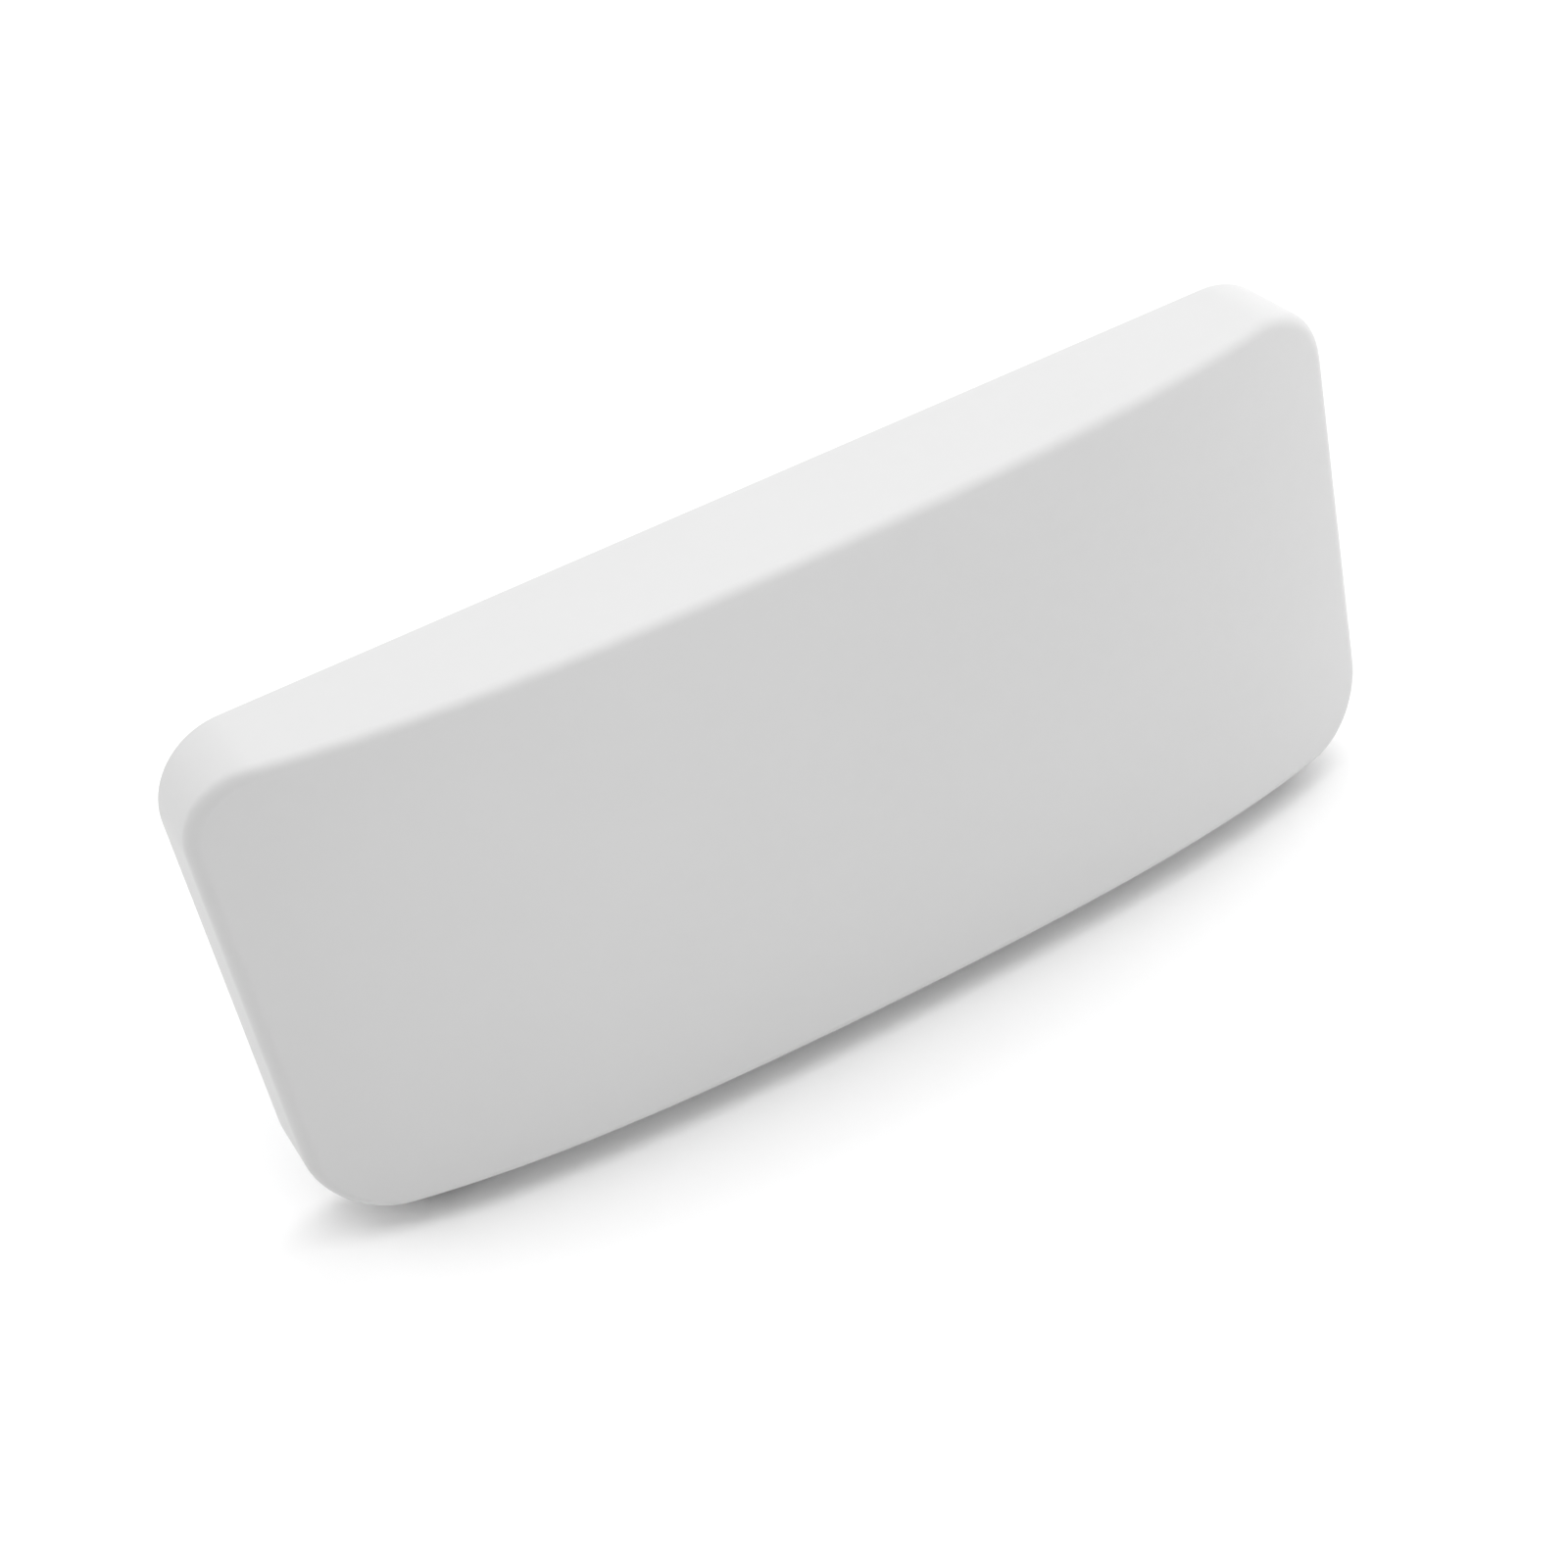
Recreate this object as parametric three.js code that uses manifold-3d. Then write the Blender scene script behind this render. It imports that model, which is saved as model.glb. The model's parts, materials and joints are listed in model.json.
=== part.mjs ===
// A wall battery unit: a slim landscape home battery with a one-piece bulging front cover.
//
// The cover slides forward off a shallow metal pan. The pan holds four lithium iron phosphate
// modules, the power converter on its heat sink, the switchgear, a recessed gland box in the
// bottom and a service port in the right-hand end. It hangs on a steel wall bracket, and two
// low feet set well back under the bulge carry it when it stands on the floor.
//
// Millimetres. +X is to the right as one faces the unit, -Y is towards the viewer, +Z is up.
// The origin is the centre of the wall bracket's back face, so the wall is the plane y = 0.

import * as THREE from "three";
import { ConvexGeometry } from "three/addons/geometries/ConvexGeometry.js";
import { mergeVertices } from "three/addons/utils/BufferGeometryUtils.js";
import Module from "manifold-3d";

// ---------------------------------------------------------------- driving dimensions

const LENGTH = 1200; // outside length of the cover
const HEIGHT = 515; // outside height of the cover
const END_DEPTH = 82; // depth of the cover at its two ends
const CROWN = 78; // how much deeper it is in the middle
const CROWN_SQUARE_SHARE = 0.424; // share of the crown that falls with the square; the rest with the fourth power
const CORNER_RADIUS = 79;
const EDGE_RADIUS = 13; // rounding between the front and the side walls
const STANDOFF = 20; // from the wall to the cover's back rim
const SKIN = 3; // cover wall thickness
const FIT = 0.3; // gap left between pieces that touch

const PAN_INSET = 5; // pan wall inside the cover's outside
const PAN_WALL = 2.5;
const PAN_BACK = -22; // back face of the pan's floor
const PAN_FLOOR = -25; // front face of the pan's floor
const PAN_RIM = -86; // front edge of the pan's wall
const SEAT = PAN_FLOOR - FIT; // where pieces stand on the pan's floor

const CELLS_PER_MODULE = 16;
const CELL_PITCH = 27;
const CELL_WIDTH = 148;
const CELL_FRONT = -123.5;
const MODULE_COUNT = 4;
const MODULE_PITCH = 168;
const FIRST_MODULE_X = -386;
const TERMINAL_OFFSET = 45; // main terminal from the module's middle
const TERMINAL_Z = 195;

const CLEAT_HEIGHTS = { upper: 120, lower: -120 };
const BRACKET_HALF_WIDTH = 225;
const STUD_PITCH = 406.4; // wall screws, from one wall stud to the next
const SLOT_Z = 70;
const CLIP_X = 545;
const CLIP_Z = 180;

const PORT = { y: [-73, -30], z: [-74, 74], back: 558.5, wall: 2.5 };
const FLAP_PIVOT = { x: 596.7, z: 72 };
const PORT_AXIS_Y = (PORT.y[0] + PORT.y[1]) / 2;
const GLAND_BOX = { x: [318, 446], y: [-74, -27.5], top: -205.5, wall: 2.5 };
const GLAND_XS = [340, 382, 424];
const GLAND_THREAD_RADIUS = 12.8;
const FOOT = { x: [455, 515], y: [-90, -26], outerFront: -73, height: 30 };
const INTAKE = { x: [238, 306], y: [-72, -36], slots: 6 };
const EXHAUST = { x: [250, 420], z: [194, 226], slots: 12 };

const CORNER_STEPS = 8;
const EDGE_STEPS = 3;
const LONG_EDGE_STEPS = 16;
const ROUND = 16; // sides of an ordinary round piece

// ---------------------------------------------------------------- materials

function finish(color, roughness, metalness = 0) {
  return new THREE.MeshStandardMaterial({ color, roughness, metalness });
}

const MATERIAL = {
  cover: finish(0xe9e9e8, 0.5),
  pan: finish(0xb9bcbe, 0.55, 0.6),
  steel: finish(0xc4c6c8, 0.4, 0.9),
  aluminium: finish(0xc9cccf, 0.45, 0.8),
  rubber: finish(0x202123, 0.85),
  cell: finish(0x3f6fa3, 0.5),
  guard: finish(0x2b2d30, 0.6),
  copper: finish(0xb8733a, 0.35, 1),
  board: finish(0x1f5b3a, 0.5),
  plastic: finish(0x34373a, 0.6),
  pale: finish(0xd4d6d6, 0.55),
  lever: finish(0xd9822b, 0.5),
  ferrite: finish(0x4b4e52, 0.6),
  red: finish(0xb3261e, 0.6),
  black: finish(0x17181a, 0.6),
  orange: finish(0xe0701a, 0.6),
};

// ---------------------------------------------------------------- solids

const wasm = await Module();
wasm.setup();

// A closed three.js geometry as a manifold-3d solid.
function toSolid(geometry) {
  const bare = new THREE.BufferGeometry();
  bare.setAttribute("position", geometry.getAttribute("position"));
  bare.setIndex(geometry.index);
  const merged = mergeVertices(bare, 1e-4);
  const mesh = new wasm.Mesh({
    numProp: 3,
    vertProperties: merged.attributes.position.array,
    triVerts: new Uint32Array(merged.index.array),
  });
  return new wasm.Manifold(mesh);
}

function toGeometry(solid) {
  const mesh = solid.getMesh();
  return new THREE.BufferGeometry()
    .setAttribute("position", new THREE.BufferAttribute(mesh.vertProperties, mesh.numProp))
    .setIndex(new THREE.BufferAttribute(mesh.triVerts, 1));
}

function join(...pieces) {
  return toGeometry(pieces.map(toSolid).reduce((whole, piece) => whole.add(piece)));
}

function cut(base, ...tools) {
  return toGeometry(tools.map(toSolid).reduce((whole, tool) => whole.subtract(tool), toSolid(base)));
}

// A box from its three spans.
function block([x0, x1], [y0, y1], [z0, z1]) {
  return new THREE.BoxGeometry(x1 - x0, y1 - y0, z1 - z0).translate(
    (x0 + x1) / 2,
    (y0 + y1) / 2,
    (z0 + z1) / 2,
  );
}

// A span of the given width around a middle.
function around(middle, width) {
  return [middle - width / 2, middle + width / 2];
}

// A round bar along x, y or z, through (a, b) in the plane across it, in X, Y, Z order.
function rod(axis, radius, [from, to], [a, b], sides = ROUND, farRadius = radius) {
  const bar = new THREE.CylinderGeometry(farRadius, radius, to - from, sides);
  bar.translate(0, (from + to) / 2, 0);
  if (axis === "x") return bar.rotateZ(-Math.PI / 2).translate(0, a, b);
  if (axis === "z") return bar.rotateX(Math.PI / 2).translate(a, b, 0);
  return bar.translate(a, 0, b);
}

// A shape drawn in X and Z, from y = back forwards to y = front.
function slab(shape, back, front, curveSegments = CORNER_STEPS) {
  const options = { depth: back - front, bevelEnabled: false, curveSegments };
  return new THREE.ExtrudeGeometry(shape, options).rotateX(Math.PI / 2).translate(0, back, 0);
}

// A closed outline of [y, z] points, run along X.
function profileAlongX(points, [x0, x1]) {
  const shape = new THREE.Shape(points.map(([y, z]) => new THREE.Vector2(y, z)));
  const turn = new THREE.Matrix4().makeBasis(
    new THREE.Vector3(0, 1, 0),
    new THREE.Vector3(0, 0, 1),
    new THREE.Vector3(1, 0, 0),
  );
  const run = new THREE.ExtrudeGeometry(shape, { depth: x1 - x0, bevelEnabled: false });
  return run.applyMatrix4(turn).translate(x0, 0, 0);
}

function roundedRectangle(halfWidth, halfHeight, radius, centreX = 0, centreZ = 0) {
  const x = halfWidth - radius;
  const z = halfHeight - radius;
  const quarter = Math.PI / 2;
  const shape = new THREE.Shape();
  shape.absarc(centreX + x, centreZ + z, radius, 0, quarter);
  shape.absarc(centreX - x, centreZ + z, radius, quarter, 2 * quarter);
  shape.absarc(centreX - x, centreZ - z, radius, 2 * quarter, 3 * quarter);
  shape.absarc(centreX + x, centreZ - z, radius, 3 * quarter, 4 * quarter);
  shape.closePath();
  return shape;
}

// The unit's own outline, drawn in by inset.
function bodyShape(inset) {
  return roundedRectangle(LENGTH / 2 - inset, HEIGHT / 2 - inset, CORNER_RADIUS - inset);
}

// A tube of round section along a smooth curve through [x, y, z] points.
function tube(points, radius, steps, sides = 6) {
  const path = new THREE.CatmullRomCurve3(points.map((p) => new THREE.Vector3(...p)), false, "centripetal");
  const ring = [];
  for (let side = 0; side < sides; side++) {
    const angle = (2 * Math.PI * side) / sides;
    ring.push(new THREE.Vector2(radius * Math.cos(angle), radius * Math.sin(angle)));
  }
  return new THREE.ExtrudeGeometry(new THREE.Shape(ring), { steps, extrudePath: path });
}

// ---------------------------------------------------------------- assembly

const unit = new THREE.Group();

function place(name, geometry, material, parent = unit) {
  const mesh = new THREE.Mesh(geometry, material);
  mesh.name = name;
  parent.add(mesh);
}

// Slots of the given width, spread evenly over a span.
function slots([from, to], count, width) {
  const pitch = (to - from - width) / (count - 1);
  return Array.from({ length: count }, (_, slot) => around(from + width / 2 + slot * pitch, width));
}

// Slots through both the cover's and the pan's bottom walls, under the fan.
function intakeSlots() {
  return slots(INTAKE.x, INTAKE.slots, 6).map((x) => block(x, INTAKE.y, [-260, -245]));
}

// A foot's reach along X on the left (-1) or right (1), widened by margin.
function footSpan(side, margin = 0) {
  return around((side * (FOOT.x[0] + FOOT.x[1])) / 2, FOOT.x[1] - FOOT.x[0] + 2 * margin);
}

// ---------------------------------------------------------------- front cover

// Depth of the cover at x, from its back rim to its front face.
function coverDepth(x) {
  const share = Math.abs(x) / (LENGTH / 2);
  const fall = CROWN_SQUARE_SHARE * share ** 2 + (1 - CROWN_SQUARE_SHARE) * share ** 4;
  return END_DEPTH + CROWN * (1 - fall);
}

function outlinePoints(inset) {
  const points = bodyShape(inset).getPoints(CORNER_STEPS);
  const straight = LENGTH / 2 - CORNER_RADIUS;
  for (let step = 1; step < LONG_EDGE_STEPS; step++) {
    const x = straight * ((2 * step) / LONG_EDGE_STEPS - 1);
    const z = HEIGHT / 2 - inset;
    points.push(new THREE.Vector2(x, z), new THREE.Vector2(x, -z));
  }
  return points;
}

// The cover's outside (inset 0) or its hollow (inset SKIN), with its rounded front edge.
function coverBlank(inset, backY) {
  const radius = EDGE_RADIUS - inset;
  const points = outlinePoints(inset).map((p) => new THREE.Vector3(p.x, backY, p.y));
  for (let step = 0; step <= EDGE_STEPS; step++) {
    const turn = (step / EDGE_STEPS) * (Math.PI / 2);
    const pulledIn = inset + radius * (1 - Math.cos(turn));
    const pulledBack = inset + radius * (1 - Math.sin(turn));
    for (const p of outlinePoints(pulledIn))
      points.push(new THREE.Vector3(p.x, -STANDOFF - coverDepth(p.x) + pulledBack, p.y));
  }
  return new ConvexGeometry(points);
}

function frontCover() {
  const shell = cut(coverBlank(0, -STANDOFF), coverBlank(SKIN, -STANDOFF + 5));
  const notched = cut(
    shell,
    block([590, 601], [PORT.y[0] - 3.2, -19], [PORT.z[0] - 3, PORT.z[1] + 3]),
    block([GLAND_BOX.x[0] - 5.5, FOOT.x[1] + 1.5], [GLAND_BOX.y[0] - 4, -19], [-259, -250]),
    ...[-1, 1].map((side) => block(footSpan(side, 1.5), [FOOT.y[0] - 1.5, -19], [-259, -250])),
    ...intakeSlots(),
  );
  const pegFoot = -STANDOFF - coverDepth(CLIP_X) + SKIN / 2;
  const pegs = [];
  for (const x of [-CLIP_X, CLIP_X])
    for (const z of [-CLIP_Z, CLIP_Z]) pegs.push(rod("y", 5, [pegFoot, -84.2], [x, z], 12));
  return join(notched, ...pegs);
}

place("front_cover", frontCover(), MATERIAL.cover);

// ---------------------------------------------------------------- pan, seal and clips

function chassisPan() {
  const tray = cut(
    slab(bodyShape(PAN_INSET), PAN_BACK, PAN_RIM),
    slab(bodyShape(PAN_INSET + PAN_WALL), PAN_FLOOR, PAN_RIM - 1),
  );
  const posts = [];
  for (const x of [-CLIP_X, CLIP_X])
    for (const z of [-CLIP_Z, CLIP_Z])
      posts.push(block(around(x, 18), [-80, PAN_FLOOR + 1], around(z, 18)));
  const heatSinkWindow = block([234, 436], [-30, -20], [-178, 178]);
  const portHole = block([585, 600], [PORT.y[0] - 0.5, PORT.y[1] + 0.5], [PORT.z[0] - 0.5, PORT.z[1] + 0.5]);
  const hingeNotch = block([592, 600], [-76.5, -20], [67.5, 78]);
  const glandHole = block(
    [GLAND_BOX.x[0] - 1, GLAND_BOX.x[1] + 1],
    [GLAND_BOX.y[0] - 1, GLAND_BOX.y[1] + 1],
    [-260, -245],
  );
  const exhaust = slots(EXHAUST.x, EXHAUST.slots, 6).map((x) => block(x, [-30, -20], EXHAUST.z));
  return cut(
    join(tray, ...posts),
    heatSinkWindow,
    portHole,
    hingeNotch,
    glandHole,
    ...intakeSlots(),
    ...exhaust,
  );
}

function coverSeal() {
  const ring = bodyShape(SKIN + FIT);
  ring.holes.push(bodyShape(PAN_INSET - FIT));
  return slab(ring, -79, -84);
}

function coverClip(x, z) {
  const cup = rod("y", 9, [-92, -80 - FIT], [x, z]);
  const bore = rod("y", 5.6, [-93, -83.5], [x, z]);
  const slit = block(around(x, 2), [-93, -84], [z, z + 12]);
  return cut(cup, bore, slit);
}

place("chassis_pan", chassisPan(), MATERIAL.pan);
place("cover_seal", coverSeal(), MATERIAL.rubber);
for (const [side, x] of [["left", -CLIP_X], ["right", CLIP_X]])
  for (const [level, z] of [["lower", -CLIP_Z], ["upper", CLIP_Z]])
    place(`cover_clip_${level}_${side}`, coverClip(x, z), MATERIAL.steel);

// ---------------------------------------------------------------- wall mounting

// A hooked rail on the unit's back: a flange, a ledge and a lip that hangs down.
function hangerRail(z) {
  const outline = [
    [-21.7, z - 8], [-18.7, z - 8], [-18.7, z + 20], [-8, z + 20], [-8, z + 1],
    [-5, z + 1], [-5, z + 23], [-18.7, z + 23], [-18.7, z + 36], [-21.7, z + 36],
  ];
  const rail = profileAlongX(outline, [-200, 200]);
  const screwHoles = [-170, 170].map((x) => rod("z", 3.4, [z + 15, z + 30], [x, -10.5], 12));
  return z > 0 ? cut(rail, ...screwHoles) : rail;
}

// A slot for a wall screw, with round ends, lying along X.
function wallSlot(x, z) {
  return slab(roundedRectangle(14, 5, 4.9, x, z), 1, -4, 3);
}

function wallBracket() {
  const bottom = CLEAT_HEIGHTS.lower - 30;
  const plate = block([-BRACKET_HALF_WIDTH, BRACKET_HALF_WIDTH], [-3, 0], [bottom, CLEAT_HEIGHTS.upper]);
  const cleats = Object.values(CLEAT_HEIGHTS).map((z) =>
    profileAlongX([[-12, z - 3], [-1, z - 3], [-1, z], [-9, z], [-9, z + 16], [-12, z + 16]], [-190, 190]),
  );
  const screwSlots = [];
  for (const x of [-STUD_PITCH / 2, STUD_PITCH / 2])
    for (const z of [-SLOT_Z, SLOT_Z]) screwSlots.push(wallSlot(x, z));
  return cut(join(plate, ...cleats), ...screwSlots);
}

// A screw through the upper rail whose tip stands on the bracket's lip.
function levellingScrew(x) {
  const z = CLEAT_HEIGHTS.upper;
  return join(
    rod("z", 3, [z + 16 + FIT, z + 24], [x, -10.5], 12),
    rod("z", 5.2, [z + 23 + FIT, z + 28], [x, -10.5], 6),
  );
}

place("hanger_rail_upper", hangerRail(CLEAT_HEIGHTS.upper), MATERIAL.steel);
place("hanger_rail_lower", hangerRail(CLEAT_HEIGHTS.lower), MATERIAL.steel);
place("wall_bracket", wallBracket(), MATERIAL.steel);
place("levelling_screw_left", levellingScrew(-170), MATERIAL.steel);
place("levelling_screw_right", levellingScrew(170), MATERIAL.steel);

// ---------------------------------------------------------------- feet

// A foot with a grooved sole, bolted up against the pan and cleared where it crosses the seal.
// Its front runs parallel to the bow of the cover, deeper at the inner end.
function foot(side) {
  const back = FOOT.y[1];
  const sole = -HEIGHT / 2 - FOOT.height;
  const top = PAN_INSET - HEIGHT / 2 - FIT;
  const [inner, outer] = FOOT.x.map((x) => side * x);
  const points = [];
  for (const [x, front] of [[inner, FOOT.y[0]], [outer, FOOT.outerFront]])
    for (const [y, z] of [[front + 3, sole], [front, sole + 3], [front, top], [back, sole], [back, top]])
      points.push(new THREE.Vector3(x, y, z));
  const grooves = [-18, -6, 6, 18].map((offset) =>
    block(around((inner + outer) / 2 + offset, 3), [FOOT.y[0] - 1, back + 1], [sole - 1, sole + 2]),
  );
  const roomForSeal = block(footSpan(side, 1), [-84 - FIT, -79 + FIT], [-254.6, -250]);
  return cut(new ConvexGeometry(points), ...grooves, roomForSeal);
}

place("foot_left", foot(-1), MATERIAL.rubber);
place("foot_right", foot(1), MATERIAL.rubber);

// ---------------------------------------------------------------- battery modules

function moduleCells(x) {
  const stack = [block(around(x, CELL_WIDTH - 2), [-28.6, SEAT], [-215, 215])];
  for (let cell = 0; cell < CELLS_PER_MODULE; cell++) {
    const z = (cell - (CELLS_PER_MODULE - 1) / 2) * CELL_PITCH;
    stack.push(block(around(x, CELL_WIDTH), [CELL_FRONT, -28.5], around(z, CELL_PITCH - 0.8)));
  }
  for (const side of [-TERMINAL_OFFSET, TERMINAL_OFFSET])
    stack.push(rod("y", 8, [-137.7, CELL_FRONT], [x + side, TERMINAL_Z], 12));
  return join(...stack);
}

// Two end plates joined by four steel straps.
function moduleFrame(x) {
  const half = CELL_WIDTH / 2 + 2.1;
  const pieces = [];
  for (const end of [-1, 1]) {
    const z = end > 0 ? [216.5, 229] : [-229, -216.5];
    pieces.push(block([x - half, x + half], [CELL_FRONT, SEAT], z));
    const strap = end > 0 ? [x + half - 1.5, x + half] : [x - half, x - half + 1.5];
    for (const y of [-100, -50]) pieces.push(block(strap, around(y, 20), [-229, 229]));
  }
  return join(...pieces);
}

// The plastic lid over a module's busbars, with holes for its two main terminals.
function moduleGuard(x) {
  const lid = block(around(x, 144), [-134, CELL_FRONT - 0.7], [-214, 214]);
  const hollow = block(around(x, 141), [-132.3, -120], [-212.5, 212.5]);
  const holes = [-TERMINAL_OFFSET, TERMINAL_OFFSET].map((side) =>
    rod("y", 10, [-136, -130], [x + side, TERMINAL_Z], 12),
  );
  return cut(lid, hollow, ...holes);
}

function linkBar(x) {
  const span = [x + TERMINAL_OFFSET - 12, x + MODULE_PITCH - TERMINAL_OFFSET + 12];
  return block(span, [-141, -138], around(TERMINAL_Z, 22));
}

function clampBar(z) {
  const bar = around(z, 12);
  return join(
    block([-478, 208], [-130, CELL_FRONT - 0.7], bar),
    block([-478, -472], [-130, SEAT], bar),
    block([202, 208], [-130, SEAT], bar),
    block([-492, -472], [SEAT - 3, SEAT], bar),
    block([202, 222], [SEAT - 3, SEAT], bar),
  );
}

for (let index = 0; index < MODULE_COUNT; index++) {
  const x = FIRST_MODULE_X + index * MODULE_PITCH;
  const name = `module_${index + 1}`;
  place(`${name}_cells`, moduleCells(x), MATERIAL.cell);
  place(`${name}_frame`, moduleFrame(x), MATERIAL.aluminium);
  place(`${name}_guard`, moduleGuard(x), MATERIAL.guard);
  if (index < MODULE_COUNT - 1) place(`link_bar_${index + 1}_${index + 2}`, linkBar(x), MATERIAL.copper);
}
place("clamp_bar_upper", clampBar(222.5), MATERIAL.steel);
place("clamp_bar_lower", clampBar(-222.5), MATERIAL.steel);

// ---------------------------------------------------------------- battery management board

function bmsBoard() {
  const pieces = [block([-575, -492], [-46, -44.4], [-120, 120])];
  for (const x of [-568, -499])
    for (const z of [-112, 112]) pieces.push(rod("y", 3.5, [-45, SEAT], [x, z], 8));
  for (let row = 0; row < 4; row++)
    pieces.push(block([-512, -500], [-55, -45.9], around(-75 + row * 50, 34)));
  pieces.push(block([-562, -534], [-49, -45.9], around(60, 28)));
  pieces.push(block([-560, -530], [-53, -45.9], around(-30, 44)));
  return join(...pieces);
}

place("bms_board", bmsBoard(), MATERIAL.board);

// ---------------------------------------------------------------- power converter

function heatSink() {
  const pieces = [block([228, 442], [-31.3, SEAT], [-188, 188])];
  const fins = 18;
  for (let fin = 0; fin < fins; fin++) {
    const x = 240 + (fin * 190) / (fins - 1);
    pieces.push(block(around(x, 2.6), [SEAT - 1, -6], [-176, 176]));
  }
  return join(...pieces);
}

function powerBoard() {
  const pieces = [block([238, 432], [-50, -48.4], [-172, 172])];
  for (const x of [246, 424])
    for (const z of [-164, 0, 164]) pieces.push(rod("y", 3.5, [-49, -31.3 - FIT], [x, z], 8));
  for (let relay = 0; relay < 3; relay++)
    pieces.push(block(around(402, 28), [-68, -49.9], around(-130 + relay * 38, 30)));
  pieces.push(block([384, 424], [-54, -49.9], [40, 80]));
  pieces.push(block([250, 420], [-60, -49.9], [-166, -156]));
  return join(...pieces);
}

// Three cans held by one strap.
function capacitorBank() {
  const cans = [60, 100, 140].map((z) => rod("y", 17, [-100, -50 - FIT], [266, z]));
  return join(...cans, block([250, 282], [-84, -78], [50, 150]));
}

function inductor(x, z) {
  return new THREE.TorusGeometry(23, 11, 8, 16).rotateX(Math.PI / 2).translate(x, -61.4, z);
}

function transformer() {
  return join(
    block(around(325, 66), [-96, -50 - FIT], around(-78, 20)),
    block(around(325, 42), [-92, -54], around(-78, 52)),
    block([292, 300], [-96, -50 - FIT], around(-78, 60)),
    block([350, 358], [-96, -50 - FIT], around(-78, 60)),
  );
}

place("heat_sink", heatSink(), MATERIAL.aluminium);
place("power_board", powerBoard(), MATERIAL.board);
place("capacitor_bank", capacitorBank(), MATERIAL.black);
place("inductor_upper", inductor(340, 124), MATERIAL.copper);
place("inductor_lower", inductor(340, 34), MATERIAL.copper);
place("transformer", transformer(), MATERIAL.ferrite);

// ---------------------------------------------------------------- fan

const FAN = { x: 272, y: -75, z: [-228, -203], half: 40 };

function fanHousing() {
  const frame = block(around(FAN.x, 2 * FAN.half), around(FAN.y, 2 * FAN.half), FAN.z);
  const ring = cut(frame, rod("z", 37.5, [-240, -190], [FAN.x, FAN.y], 28));
  const struts = [
    block(around(FAN.x, 78), around(FAN.y, 4), [-206, -203]),
    block(around(FAN.x, 4), around(FAN.y, 78), [-206, -203]),
  ];
  return join(ring, ...struts, rod("z", 15, [-206, -203], [FAN.x, FAN.y], 20));
}

function fanRotor() {
  const pieces = [rod("z", 15, [-227, -206 - FIT], [FAN.x, FAN.y], 20)];
  const blades = 7;
  for (let blade = 0; blade < blades; blade++)
    pieces.push(
      new THREE.BoxGeometry(23, 20, 1.6)
        .rotateX(0.7)
        .translate(24, 0, (FAN.z[0] + FAN.z[1]) / 2 - 1)
        .rotateZ((blade * 2 * Math.PI) / blades)
        .translate(FAN.x, FAN.y, 0),
    );
  return join(...pieces);
}

place("fan_housing", fanHousing(), MATERIAL.plastic);
place("fan_rotor", fanRotor(), MATERIAL.black);

// ---------------------------------------------------------------- switchgear

const BREAKER = { x: [470, 506], z: 100, leverY: -93 };

function dinRail() {
  const z = BREAKER.z;
  const outline = [
    [SEAT, z - 12.5], [SEAT, z + 12.5], [-31.8, z + 12.5], [-31.8, z + 17.5], [-32.8, z + 17.5],
    [-32.8, z + 11.5], [-26.5, z + 11.5], [-26.5, z - 11.5], [-32.8, z - 11.5], [-32.8, z - 17.5],
    [-31.8, z - 17.5], [-31.8, z - 12.5],
  ];
  return profileAlongX(outline.reverse(), [462, 584]);
}

function breakerBody() {
  const z = BREAKER.z;
  const outline = [
    [-33.1, z - 43], [-33.1, z + 43], [-77, z + 43], [-77, z + 23], [-100, z + 23],
    [-100, z - 23], [-77, z - 23], [-77, z - 43],
  ];
  const body = profileAlongX(outline.reverse(), BREAKER.x);
  const leverSlot = block([475, 501], [-101, -82], around(z, 34));
  const screwWells = [479, 497].flatMap((x) =>
    [-33, 33].map((side) => rod("y", 3.5, [-78, -72], [x, z + side], 8)),
  );
  return cut(body, leverSlot, ...screwWells);
}

// The tied toggle of the two-pole breaker, drawn in its on position, tipped up.
function breakerLever() {
  const drum = rod("x", 7, [476, 500], [0, 0], 16);
  const toggle = block([479, 497], [-24, -5], around(0, 5));
  return join(drum, toggle).rotateX(-0.5).translate(0, BREAKER.leverY, BREAKER.z);
}

function terminalBlock() {
  const body = profileAlongX(
    [[-33.1, 76], [-80, 84], [-80, 96], [-66, 100], [-80, 104], [-80, 116], [-33.1, 124]],
    [512, 574],
  );
  const wells = [];
  for (let way = 0; way < 5; way++)
    for (const z of [90, 110]) wells.push(rod("y", 3, [-81, -74], [519.5 + way * 11.8, z], 8));
  return cut(body, ...wells);
}

function contactor(z) {
  const x = 497;
  return join(
    block(around(x, 60), [-34, SEAT], around(z, 60)),
    rod("y", 27, [-88, -33], [x, z], 24),
    block(around(x, 44), [-94, -87], around(z, 30)),
    rod("y", 4, [-103, -93], [x - 13, z], 10),
    rod("y", 4, [-103, -93], [x + 13, z], 10),
  );
}

function mainFuse() {
  const z = -160;
  return join(
    block([462, 536], [-36, SEAT], around(z, 26)),
    block([466, 474], [-60, -35], around(z, 16)),
    block([524, 532], [-60, -35], around(z, 16)),
    rod("x", 13, [476, 522], [-58, z], 18),
    rod("x", 14.5, [470, 479], [-58, z], 18),
    rod("x", 14.5, [519, 528], [-58, z], 18),
  );
}

place("din_rail", dinRail(), MATERIAL.steel);
place("breaker_body", breakerBody(), MATERIAL.pale);
place("breaker_lever", breakerLever(), MATERIAL.lever);
place("terminal_block", terminalBlock(), MATERIAL.pale);
place("contactor_positive", contactor(-20), MATERIAL.plastic);
place("contactor_negative", contactor(-92), MATERIAL.plastic);
place("main_fuse", mainFuse(), MATERIAL.pale);

// ---------------------------------------------------------------- service port

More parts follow.
